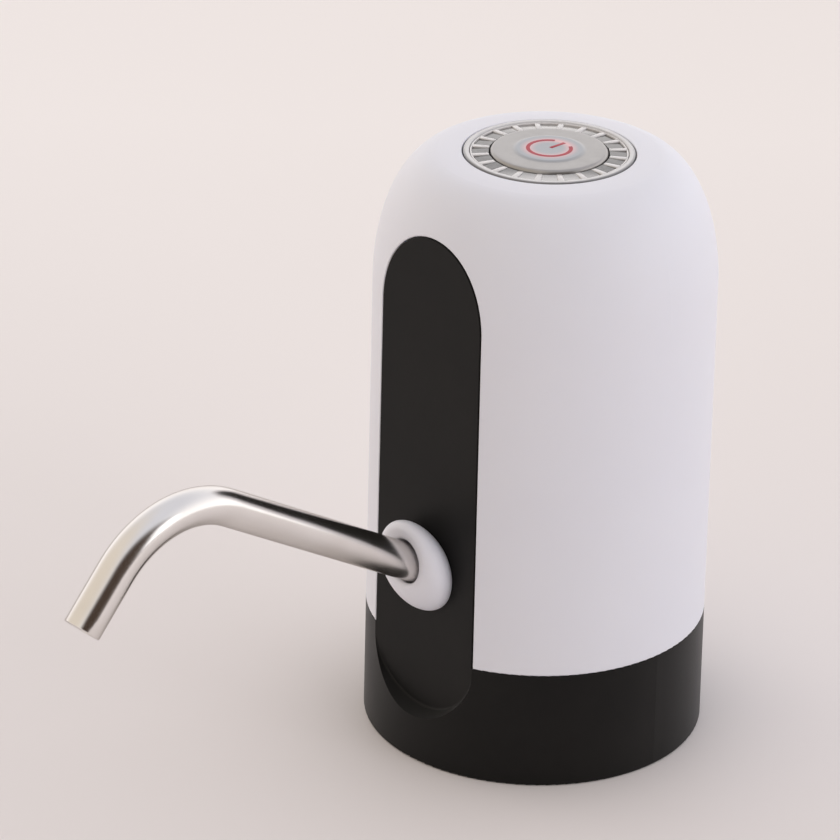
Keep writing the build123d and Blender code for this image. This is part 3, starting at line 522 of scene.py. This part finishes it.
# %% [markdown]
# ## The faceted light ring
#
# Round the button lies a clear ring cut into twenty flat facets that slope outwards, parted by
# thin ribs. A round ring would blur them together, so the facets are a ring of only twenty sides,
# shaded flat. One rib is modelled from a cube, bevelled, and copied round by Spin. The ring's
# body, an open channel with a rounded rim, is pulled like the button.

# %% Model the light ring's body
RING_INNER = 12.8
RING_OUTER = 16.8
RING_TOP = 132.3
RIM_INNER = 16.4
RIM_ROUNDING = (RING_OUTER - RIM_INNER) / 2
CHANNEL_FLOOR = 129.6
SEAT_HEIGHT = 128.55
LIP_OUTER = 13.6
LIP_LOW = 127.7

body_profile = [(RIM_INNER, 130.8), (RIM_INNER, RING_TOP - RIM_ROUNDING)]
body_profile += arc_stations(
    (RIM_INNER + RIM_ROUNDING, RING_TOP - RIM_ROUNDING), RIM_ROUNDING, RIM_ROUNDING, 180, 0, 8
)
body_profile += [
    (RING_OUTER, SEAT_HEIGHT), (LIP_OUTER, SEAT_HEIGHT), (LIP_OUTER, LIP_LOW),
    (RING_INNER, LIP_LOW), (RING_INNER, CHANNEL_FLOOR), (RIM_INNER, CHANNEL_FLOOR),
    body_profile[0],
]
ring_body = turned_ring("faceted_ring", ROUND_SIDES, body_profile)
close_mesh(ring_body)

# %% [markdown]
# ## The facets
#
# Twenty flat panes lie in the channel and slope outwards by a quarter of a millimetre. A ring of
# twenty sides measures its radius to the corners, so the radii are stretched until the middles
# of its sides lie at the channel's walls.

# %% Model the facets
FACETS = 20
FACET_LOW = 129.5
FACET_INNER_TOP = 132.15
FACET_OUTER_TOP = 131.9
flat_to_corner = 1 / math.cos(math.pi / FACETS)

facet_inner = RING_INNER * flat_to_corner
facet_outer = RIM_INNER * flat_to_corner
facet_profile = [
    (facet_inner, FACET_LOW), (facet_inner, FACET_INNER_TOP), (facet_outer, FACET_OUTER_TOP),
    (facet_outer, FACET_LOW), (facet_inner, FACET_LOW),
]
facets = turned_ring("facets", FACETS, facet_profile)
close_mesh(facets, smooth_below=5)

# %% [markdown]
# ## The ribs
#
# A thin bar with rounded edges covers the corner between each two panes. It is made once, on the
# X axis, and Spin with duplicates sets down the other nineteen.

# %% Model the ribs
RIB_TOP = 132.25
RIB_WIDTH = 1.3
RIB_TALL = 2.2
RIB_ROUND = 0.22
rib_length = RIM_INNER - RING_INNER + 0.2  # the rib's end is sunk in the rim
last_turn = 2 * math.pi * (FACETS - 1) / FACETS

ribs = add_block(
    "ribs",
    (rib_length, RIB_WIDTH, RIB_TALL),
    at(RING_INNER + rib_length / 2, 0, RIB_TOP - RIB_TALL / 2),
)
round_edges(ribs, RIB_ROUND, segments=4, above=30)
edit_all()
bpy.ops.mesh.spin(
    steps=FACETS - 1, dupli=True, angle=last_turn, center=(0, 0, 0), axis=(0, 0, 1)
)
close_mesh(ribs)

# %% [markdown]
# ## The clear bezel
#
# A clear ring frames the facets and hides the edge of the hole. Only its polished, rounded crown
# shows; a flange below it is trapped under the housing. The crown is two elliptical arcs, a wide
# one outside and a tight one inside, as a mould maker would blend them.

# %% Model the bezel
BEZEL_TOP = 132.5
BEZEL_INNER = 16.9
BEZEL_OUTER = 18.3
BEZEL_LOW = 128.1
BEZEL_FLANGE = 20.2
BEZEL_STEP = 129.5

bezel_profile = [
    (BEZEL_INNER, BEZEL_LOW), (BEZEL_FLANGE - CHAMFER, 128.05), (BEZEL_FLANGE, 128.15),
    (BEZEL_FLANGE, BEZEL_STEP - CHAMFER), (BEZEL_FLANGE - CHAMFER, BEZEL_STEP),
    (BEZEL_OUTER, BEZEL_STEP),
]
bezel_profile += arc_stations((BEZEL_OUTER - 0.5, BEZEL_TOP - 0.6), 0.5, 0.6, 0, 90, 8)
bezel_profile += arc_stations((BEZEL_INNER + 0.3, BEZEL_TOP - 0.4), 0.3, 0.4, 90, 180, 6)
bezel_profile += [bezel_profile[0]]
bezel = turned_ring("bezel", ROUND_SIDES, bezel_profile)
close_mesh(bezel)
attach(bezel, "housing")
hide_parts("bezel_ring")

# %% [markdown]
# ## Writing finishes as sums
#
# A finish is a small network of nodes. Drawn by hand it turns to spaghetti, so a number that
# travels between nodes is wrapped in a class whose plus, minus and times add the Math nodes, and
# every other node comes from one method. The room's light is a network too, so both share it.

# %% A value that travels between nodes
class Flow:
    """A value on its way between nodes; arithmetic on it adds Math nodes."""

    def __init__(self, network, socket):
        self.network = network
        self.socket = socket

    def math(self, operation, first, second=0.0):
        return self.network.node(
            "ShaderNodeMath", {"operation": operation}, {0: first, 1: second}
        )

    def __add__(self, other):
        return self.math("ADD", self, other)

    def __sub__(self, other):
        return self.math("SUBTRACT", self, other)

    def __rsub__(self, other):
        return self.math("SUBTRACT", other, self)

    def __mul__(self, other):
        return self.math("MULTIPLY", self, other)

    def __truediv__(self, other):
        return self.math("DIVIDE", self, other)

    def __pow__(self, other):
        return self.math("POWER", self, other)

    __radd__ = __add__
    __rmul__ = __mul__

    def size(self):
        """The value without its sign."""
        return self.math("ABSOLUTE", self)

    def span(self, low, high):
        """The value's place between two others, from 0 to 1."""
        return self.network.node("ShaderNodeMapRange", {}, {0: self, 1: low, 2: high})


print("a flow can be added, multiplied and raised to a power")

# %% [markdown]
# ## One method for every node
#
# Adding a node by hand is always the same: choose its kind, set its options, then fill or link
# its sockets. The options come first, because some of them change which sockets there are.

# %% A network of nodes
class Network:
    """The nodes of one material, or of the world."""

    def __init__(self, owner):
        owner.use_nodes = True
        self.tree = owner.node_tree
        self.tree.nodes.clear()

    def node(self, kind, settings=None, inputs=None, output=0):
        """Add a node: settings first, then the values or flows of its sockets."""
        made = self.tree.nodes.new(kind)
        for name, value in (settings or {}).items():
            setattr(made, name, value)
        for name, value in (inputs or {}).items():
            self.feed(made.inputs[name], value)
        return Flow(self, made.outputs[output]) if made.outputs else None

    def feed(self, socket, value):
        """Join a flow to a socket, or set the socket's own value."""
        if isinstance(value, Flow):
            self.tree.links.new(value.socket, socket)
        else:
            socket.default_value = value

    def tint(self, share, first, second):
        """Mix of two colours."""
        return self.node(
            "ShaderNodeMix", {"data_type": "RGBA"}, {0: share, 6: first, 7: second}, output=2
        )


def tone(red, green, blue):
    """An opaque colour."""
    return (red, green, blue, 1.0)


def grey(value, warm=0.0):
    """A grey, warmed or cooled a little."""
    return tone(value * (1 + warm), value, value * (1 - warm))


print("a warm grey:", [round(part, 3) for part in grey(0.5, 0.02)])

# %% [markdown]
# ## A material is a network with one shader
#
# Plastic, steel and rubber are all one Principled shader with different numbers. The class below
# adds what most finishes share: the place on the piece, grains of noise, and a fine relief.

# %% A material under construction
class Finish(Network):
    """A material whose surface is one Principled shader."""

    def __init__(self, name, **constants):
        self.material = bpy.data.materials.new(name)
        super().__init__(self.material)
        self.shader = self.tree.nodes.new("ShaderNodeBsdfPrincipled")
        self.node("ShaderNodeOutputMaterial", {}, {0: Flow(self, self.shader.outputs[0])})
        self.paint(**constants)

    def paint(self, **inputs):
        """Set values or feed flows to the shader."""
        for name, value in inputs.items():
            self.feed(self.shader.inputs[name.replace("_", " ")], value)

    def place(self):
        """Object coordinates, in metres."""
        return self.node("ShaderNodeTexCoord", output=3)

    def scaled(self, vector, x, y, z):
        """A vector stretched along its axes."""
        return self.node("ShaderNodeMapping", {}, {"Vector": vector, "Scale": (x, y, z)})

    def axes(self, vector):
        """The three parts of a vector as flows."""
        split = self.node("ShaderNodeSeparateXYZ", {}, {0: vector}).socket.node
        return [Flow(self, socket) for socket in split.outputs]

    def grain(self, vector, per_metre, detail=2.0, rough=0.5):
        """Noise between about 0.2 and 0.8, with so many waves to the metre."""
        return self.node(
            "ShaderNodeTexNoise",
            {"noise_dimensions": "3D"},
            {"Vector": vector, "Scale": per_metre, "Detail": detail, "Roughness": rough},
        )

    def relief(self, height, depth):
        """Bump of a height between 0 and 1, with its full depth in millimetres."""
        bump = self.node("ShaderNodeBump", {}, {"Height": height, "Distance": depth * MM})
        self.paint(Normal=bump)

    def keep(self, slot):
        """File the finished material under the slot that it dresses."""
        finishes[slot] = self.material
        print(slot, "is a network of", len(self.tree.nodes), "nodes")


finishes = {}

# %% [markdown]
# ## White moulded shell
#
# The housing and the spout's ring are white ABS with a satin, slightly cool skin. On the real
# thing nothing is even: the mould's fine spark texture breaks the shine, the shine wanders where
# hands have polished it, and light sinks in a little. So there is a touch of subsurface, two
# near-white tones, wandering roughness, and a fine bump.

# %% White shell finish
finish = Finish(
    "white_shell",
    Subsurface_Weight=0.12, Subsurface_Radius=(1.0, 0.9, 0.8), Subsurface_Scale=1.2 * MM,
    Specular_IOR_Level=0.45,
)
where = finish.place()
drift = finish.grain(where, 22, detail=3)
spark = finish.grain(where, 2600, detail=2)
finish.paint(
    Base_Color=finish.tint(
        drift.span(0.3, 0.7), tone(0.765, 0.77, 0.835), tone(0.79, 0.795, 0.855)
    ),
    Roughness=drift * 0.08 + spark * 0.06 + 0.42,
)
finish.relief(spark + finish.grain(where, 300) * 0.8, 0.006)
finish.keep("white_shell")

# %% [markdown]
# ## Black moulded shell
#
# The collar and the panel are matt black ABS, a little warm, with a coarser spark texture than
# the white shell. Black shows dust and handling as paler drifts, so the tone and the shine vary
# on two scales, and a thin sheen lifts the edges that turn away.

# %% Black shell finish
finish = Finish(
    "black_shell", Specular_IOR_Level=0.19, Sheen_Weight=0.09, Sheen_Roughness=0.4
)
where = finish.place()
drift = finish.grain(where, 40, detail=4, rough=0.6)
spark = finish.grain(where, 3200, detail=3)
finish.paint(
    Base_Color=finish.tint(drift.span(0.35, 0.7), grey(0.0025, 0.08), grey(0.006, 0.1)),
    Roughness=drift * 0.12 + spark * 0.1 + 0.36,
)
finish.relief(spark, 0.012)
finish.keep("black_shell")

# %% [markdown]
# ## Bent stainless tube
#
# The spout is bright-drawn stainless, buffed but not mirror polished: reflections are soft along
# fine lines that run with the tube. The stored places stretch the noise along the tube, so the
# lines bend with it. The specular tint keeps the edges of the tube from turning white.

# %% Spout finish
finish = Finish("spout_steel", Metallic=1.0, Specular_Tint=tone(0.62, 0.6, 0.59))
lie_on_tube = finish.node("ShaderNodeAttribute", {"attribute_name": "lie"}, output=1)
lines = finish.grain(finish.scaled(lie_on_tube, 38, 38, 0.12), 1.0, detail=4, rough=0.6)
smudges = finish.grain(finish.place(), 90, detail=3)
finish.paint(
    Base_Color=finish.tint(
        smudges.span(0.3, 0.7), tone(0.79, 0.765, 0.74), tone(0.84, 0.82, 0.8)
    ),
    Roughness=lines * 0.1 + smudges * 0.08 + 0.1,
)
finish.relief(lines, 0.004)
finish.keep("spout_steel")

# %% [markdown]
# ## Turned button face
#
# The button is plated and turned, so its face carries very fine rings that spread the highlight.
# Light from the red sign tints the metal next to it, which is painted as a halo that fades with
# the distance from the sign's ring. The boss is painted a little cooler, a painted cool reflection.

# %% Button finish
HALO_REACH = 1.9 * MM

finish = Finish("button_metal", Metallic=0.85)
where = finish.place()
x, y, _ = finish.axes(where)
radius = (x * x + y * y) ** 0.5
rings = finish.node(
    "ShaderNodeTexNoise",
    {"noise_dimensions": "1D"},
    {"W": radius, "Scale": 9000.0, "Detail": 3.0},
)
cloud = finish.grain(where, 260, detail=3)
halo = (1.0 - ((radius - SIGN_RADIUS * MM).size() / HALO_REACH).span(0.0, 1.0)) ** 1.4
on_boss = 1.0 - (radius / MM).span(BOSS_EDGE, BOSS_FOOT)
metal = finish.tint(cloud.span(0.3, 0.7), tone(0.37, 0.358, 0.348), tone(0.42, 0.408, 0.397))
# painted reflection: the boss is tinted cooler than the face
metal = finish.tint(on_boss, metal, tone(0.36, 0.375, 0.395))
finish.paint(
    Base_Color=finish.tint(halo * 0.85, metal, tone(0.74, 0.44, 0.44)),
    Roughness=rings * 0.12 + cloud * 0.08 + 0.26,
)
finish.relief(rings, 0.004)
finish.keep("button_metal")

# %% [markdown]
# ## Red enamel
#
# The sign is a red enamel with a lamp behind it. Lit enamel is never one flat red, so its colour,
# its glow and its shine are all mottled by the same noise.

# %% Sign finish
finish = Finish("red_enamel", Specular_IOR_Level=0.2, Coat_Weight=0.1, Emission_Strength=0.06)
mottle = finish.grain(finish.place(), 900, detail=3)
finish.paint(
    Base_Color=finish.tint(mottle.span(0.3, 0.7), tone(0.3, 0.025, 0.045), tone(0.42, 0.04, 0.06)),
    Emission_Color=finish.tint(mottle, tone(0.8, 0.05, 0.06), tone(0.9, 0.12, 0.12)),
    Roughness=mottle * 0.15 + 0.35,
)
finish.relief(mottle, 0.01)
finish.keep("red_enamel")

# %% [markdown]
# ## Milky ribs and rim
#
# The light ring is moulded in clear plastic, but the light guide behind it makes it look milky. A
# little subsurface gives that depth, and a coat gives the polish of the mould.

# %% Rib finish
finish = Finish(
    "milky_plastic",
    Coat_Weight=0.6, Subsurface_Weight=0.4, Subsurface_Radius=(1, 1, 1), Subsurface_Scale=MM,
)
flow_marks = finish.grain(finish.place(), 700, detail=3)
finish.paint(
    Base_Color=finish.tint(flow_marks, tone(0.62, 0.6, 0.6), tone(0.74, 0.72, 0.72)),
    Roughness=flow_marks * 0.12 + 0.12,
)
finish.relief(flow_marks, 0.01)
finish.keep("milky")

# %% [markdown]
# ## Smoked facets
#
# The panes are silvered and smoked, so they mirror the room darkly. Two opposite groups are painted
# paler, a painted highlight that stands in for the light they catch. Which panes are painted so
# follows from their distance to a slanting line through the middle.

# %% Facet finish
PAINTED_HIGHLIGHT_REACH = 15 * MM

finish = Finish("smoked_facets", Metallic=0.7, Coat_Weight=0.2)
where = finish.place()
flow_marks = finish.grain(where, 1200, detail=3)
x, y, _ = finish.axes(where)
# painted highlight: two opposite groups of panes are painted paler than the rest
painted_highlight = (((x - y) * 0.71).size() / PAINTED_HIGHLIGHT_REACH).span(0.7, 1.0)
dark = finish.tint(flow_marks.span(0.3, 0.7), grey(0.13, 0.02), grey(0.19, 0.02))
finish.paint(
    Base_Color=finish.tint(painted_highlight, dark, grey(0.5, 0.02)), Roughness=flow_marks * 0.15 + 0.08
)
finish.relief(flow_marks, 0.01)
finish.keep("smoked")

# %% [markdown]
# ## Clear bezel
#
# The bezel is polished acrylic and truly clear. Full transmission in so thin a ring would turn it
# as dark as the gap below, so only part of the light goes through. The outer edge is shaded,
# because there the eye does look down into the gap.

# %% Bezel finish
finish = Finish("clear_plastic", Transmission_Weight=0.3, IOR=1.49)
where = finish.place()
x, y, _ = finish.axes(where)
flow_marks = finish.grain(where, 500, detail=2)
# painted shade: the outer edge is painted dark where the eye looks down into the gap
rim_shade = (((x * x + y * y) ** 0.5) / MM).span(17.7, 18.2)
body = finish.tint(flow_marks, tone(0.88, 0.88, 0.89), tone(0.94, 0.93, 0.94))
finish.paint(
    Base_Color=finish.tint(rim_shade, body, tone(0.22, 0.22, 0.23)),
    Roughness=flow_marks * 0.05 + 0.02,
)
finish.relief(flow_marks, 0.006)
finish.keep("clear_plastic")

# %% [markdown]
# ## Plain mouldings below and inside
#
# The underside shows silicone, acetal and screws, and the back shows the charging port. What
# lies inside is never seen closed, but it is dressed too, so that a section view looks right.
# Silicone, rubber, acetal, the cell's wrap and the ferrite magnets differ only in tone, grain and
# shine, so one function covers them all.

# %% Finishes of the small mouldings
def moulding(name, low, high, rough, grain_size, depth, **constants):
    """A plastic or rubber with two tones, wandering shine and a fine skin."""
    finish = Finish(name, **constants)
    where = finish.place()
    drift = finish.grain(where, 120, detail=3)
    skin = finish.grain(where, 1 / (grain_size * MM), detail=2)
    finish.paint(
        Base_Color=finish.tint(drift.span(0.3, 0.7), low, high),
        Roughness=drift * 0.12 + skin * 0.08 + rough,
    )
    finish.relief(skin, depth)
    finish.keep(name)


moulding(
    "silicone", tone(0.6, 0.61, 0.62), tone(0.7, 0.71, 0.72), 0.34, 0.5, 0.01,
    Subsurface_Weight=0.5, Subsurface_Radius=(1.0, 1.0, 1.0), Subsurface_Scale=2 * MM,
)
moulding("black_rubber", grey(0.012), grey(0.022), 0.5, 0.3, 0.015)
moulding(
    "white_inner", tone(0.68, 0.66, 0.62), tone(0.76, 0.745, 0.71), 0.4, 0.4, 0.01,
    Subsurface_Weight=0.2, Subsurface_Radius=(1.0, 0.9, 0.8), Subsurface_Scale=MM,
)
moulding(
    "cell_wrap", tone(0.02, 0.12, 0.22), tone(0.03, 0.16, 0.28), 0.22, 1.5, 0.02,
    Coat_Weight=0.3,
)
moulding("magnet", grey(0.05), grey(0.08), 0.45, 0.15, 0.02, Metallic=0.6)

# %% [markdown]
# ## Metals below and inside
#
# The screws, the battery's tabs and the port's shell are bright steel, the motor's can and rotor
# are duller steel, and its terminals are brass. Screws and motor are turned about the upright
# axis, so their fine lines are stacked along it, while the rolled terminals have theirs along it.
# Either way the noise is squeezed across the lines and left long along them.

# %% Finishes of the small metals
def plated(name, low, high, rough, stretch):
    """A metal with fine lines, across which its stretch squeezes the noise."""
    finish = Finish(name, Metallic=1.0)
    where = finish.place()
    lines = finish.grain(finish.scaled(where, *stretch), 1.0, detail=3)
    cloud = finish.grain(where, 300, detail=3)
    finish.paint(
        Base_Color=finish.tint(cloud.span(0.3, 0.7), low, high),
        Roughness=lines * 0.14 + cloud * 0.1 + rough,
    )
    finish.relief(lines, 0.004)
    finish.keep(name)


plated("screw_steel", tone(0.55, 0.55, 0.56), tone(0.66, 0.66, 0.66), 0.2, (600, 600, 2500))
plated("motor_steel", tone(0.5, 0.51, 0.53), tone(0.6, 0.61, 0.62), 0.22, (300, 300, 4000))
plated("brass", tone(0.72, 0.52, 0.24), tone(0.8, 0.6, 0.3), 0.2, (2000, 2000, 300))

# %% [markdown]
# ## Circuit boards
#
# The boards are green mask over copper tracks. Real tracks could be drawn one by one, but nobody
# sees them with the housing closed, so the borders of Voronoi cells stand in for them.

# %% Board finish
finish = Finish("circuit", Coat_Weight=0.4)
where = finish.place()
cells = finish.node(
    "ShaderNodeTexVoronoi", {"feature": "DISTANCE_TO_EDGE"}, {"Vector": where, "Scale": 420.0}
)
track = 1.0 - cells.span(0.05, 0.09)
finish.paint(
    Base_Color=finish.tint(track, tone(0.008, 0.09, 0.035), tone(0.03, 0.2, 0.07)),
    Roughness=finish.grain(where, 900) * 0.15 + 0.25,
)
finish.relief(track, 0.03)
finish.keep("circuit")

# %% [markdown]
# ## Dressing the pieces
#
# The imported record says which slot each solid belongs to, and each slot has one finish. A solid's
# mesh is never touched: only its material slots are filled. The light ring's three parts are
# dressed apart and then joined, because on the real thing they are one moulding.

# %% Give every piece its finish
def dress(piece, finish):
    """Give a whole piece one finish."""
    piece.data.materials.clear()
    piece.data.materials.append(finish)


for row in frame["record"]["subparts"]:
    dress(frame["nodes"][row["node"]], finishes[row["material_slot"]])
remade = {
    spout: "spout_steel", spout_ring: "white_shell", button: "button_metal", sign: "red_enamel",
    ring_body: "milky", facets: "smoked", ribs: "milky", bezel: "clear_plastic",
}
for piece, slot in remade.items():
    dress(piece, finishes[slot])
join_into(ring_body, facets, ribs)
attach(ring_body, "housing")
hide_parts("light_ring")

# %% [markdown]
# ## The table
#
# A catalogue picture stands its object on a pale paper table that runs out of sight. A plane is
# enough. Its colour is painted brighter away from the viewer, a painted light as near a window, and
# it lies a hair below the base, so that the two faces don't flicker where they would share a plane.

# %% Lay the table
TABLE_SIZE = 6.0
TABLE_DROP = 0.02

let_go()
bpy.ops.mesh.primitive_plane_add(size=TABLE_SIZE, location=at(0, 0, -TABLE_DROP))
floor = bpy.context.object
floor.name = "floor"
table = Finish("table", Specular_IOR_Level=0.2)
where = table.place()
fibres = table.grain(where, 6, detail=2)
x, y, _ = table.axes(where)
# painted light: the paper's colour grows brighter away from the viewer
painted_light_away = ((y - x) * 0.71).span(0.0, 0.35)
table.paint(
    Base_Color=table.tint(
        painted_light_away * 0.9 + fibres * 0.1, tone(0.79, 0.745, 0.735), tone(0.93, 0.885, 0.865)
    ),
    Roughness=fibres * 0.1 + 0.6,
)
dress(floor, table.material)
print("the table lies", TABLE_DROP, "mm below the base")

# %% [markdown]
# ## The room
#
# Steel shows whatever stands round it, so the room isn't even. It is pale, greyer overhead, beige
# in front at the left, which colours the left of the spout's end, and nearly black at the right
# of the viewer, which draws the dark bands along the tube. It could be a ring of cards; a world
# whose colour turns with the direction costs nothing to render.

# %% Paint the room
VIEWER_SIDE = Vector((0.69, -0.67, 0.26)).normalized()
UP = Vector((0, 0, 1))
WARM_SIDE = Vector((-0.4, -0.75, 0.5)).normalized()
DARK_SIDE = Vector((0.93, -0.24, 0.22)).normalized()
ROOM_STRENGTH = 1.45

world = bpy.data.worlds.new("room")
bpy.context.scene.world = world
room = Network(world)
looking = room.node("ShaderNodeTexCoord")


def turn_towards(side, start, end, before, after):
    """Change a colour of the room where it is looked at towards one side."""
    towards = room.node(
        "ShaderNodeVectorMath", {"operation": "DOT_PRODUCT"}, {0: looking, 1: side}, output=1
    )
    fade = room.node(
        "ShaderNodeMapRange", {"interpolation_type": "SMOOTHSTEP"}, {0: towards, 1: start, 2: end}
    )
    return room.tint(fade, before, after)


colour = turn_towards(VIEWER_SIDE, -0.3, 0.9, tone(1.0, 0.97, 0.965), tone(0.85, 0.82, 0.81))
colour = turn_towards(UP, 0.15, 0.9, colour, tone(0.55, 0.55, 0.59))
colour = turn_towards(WARM_SIDE, 0.25, 1.0, colour, tone(0.58, 0.52, 0.45))
colour = turn_towards(DARK_SIDE, 0.68, 0.9, colour, tone(0.045, 0.03, 0.022))
sky = room.node("ShaderNodeBackground", {}, {0: colour, 1: ROOM_STRENGTH})
room.node("ShaderNodeOutputWorld", {}, {0: sky})
print("the room is a network of", len(room.tree.nodes), "nodes")

# %% [markdown]
# ## Soft lights
#
# Two large, weak windows shape the white housing: one at the right and one at the left. They are
# hidden from reflections, or they would cover the dark side of the room in the steel. One narrow
# strip stays visible, and draws the white line along the spout.

# %% Hang the lights
def soft_light(name, place, width, height, watts, colour=(1.0, 0.97, 0.95)):
    """A soft rectangular light that faces the middle of the pump."""
    data = bpy.data.lights.new(name, "AREA")
    data.shape = "RECTANGLE"
    data.size = width
    data.size_y = height
    data.energy = watts
    data.color = colour
    light = bpy.data.objects.new(name, data)
    bpy.context.scene.collection.objects.link(light)
    light.location = place
    way = at(0, 0, 70) - Vector(place)
    light.rotation_euler = way.to_track_quat("-Z", "Y").to_euler()
    print(name, "hangs", round(way.length, 2), "m away")
    return light


right_window = soft_light(
    "right_window", (1.05, 0.05, 0.45), 0.7, 0.9, watts=2.5, colour=(0.97, 0.97, 1.0)
)
left_fill = soft_light("left_fill", (-1.1, -0.3, 0.6), 0.7, 0.7, watts=1.3)
for window in (right_window, left_fill):
    window.visible_glossy = False
soft_light("bright_strip", (1.02, 0.26, 0.38), 0.3, 0.55, watts=0.7, colour=(0.99, 0.98, 1.0))

# %% [markdown]
# ## Camera
#
# A long lens from about a metre away keeps the housing's sides nearly parallel, as in a product
# picture. The camera looks down by about 25 degrees from the front right, with a slight roll.

# %% Set up the camera
CAMERA_PLACE = at(611.135, -628.444, 479.4)
CAMERA_TURN = math.radians(45.910)
CAMERA_DOWN = math.radians(25.090)
CAMERA_ROLL = math.radians(1.12)
LENS = 191.2
SENSOR_WIDTH = 36.0

camera = bpy.data.objects.new("camera", bpy.data.cameras.new("camera"))
bpy.context.scene.collection.objects.link(camera)
camera.data.sensor_width = SENSOR_WIDTH
camera.data.lens = LENS
camera.data.clip_start = 0.05
camera.data.clip_end = 20.0
ahead = Vector((-math.sin(CAMERA_TURN), math.cos(CAMERA_TURN), 0)) * math.cos(CAMERA_DOWN)
looks = ahead - Vector((0, 0, math.sin(CAMERA_DOWN)))
roll = Matrix.Rotation(CAMERA_ROLL, 3, "Z").to_quaternion()
camera.location = CAMERA_PLACE
camera.rotation_mode = "QUATERNION"
camera.rotation_quaternion = looks.to_track_quat("-Z", "Y") @ roll
bpy.context.scene.camera = camera
bpy.context.scene.view_settings.view_transform = "Standard"
print("camera looks along", [round(v, 4) for v in looks])
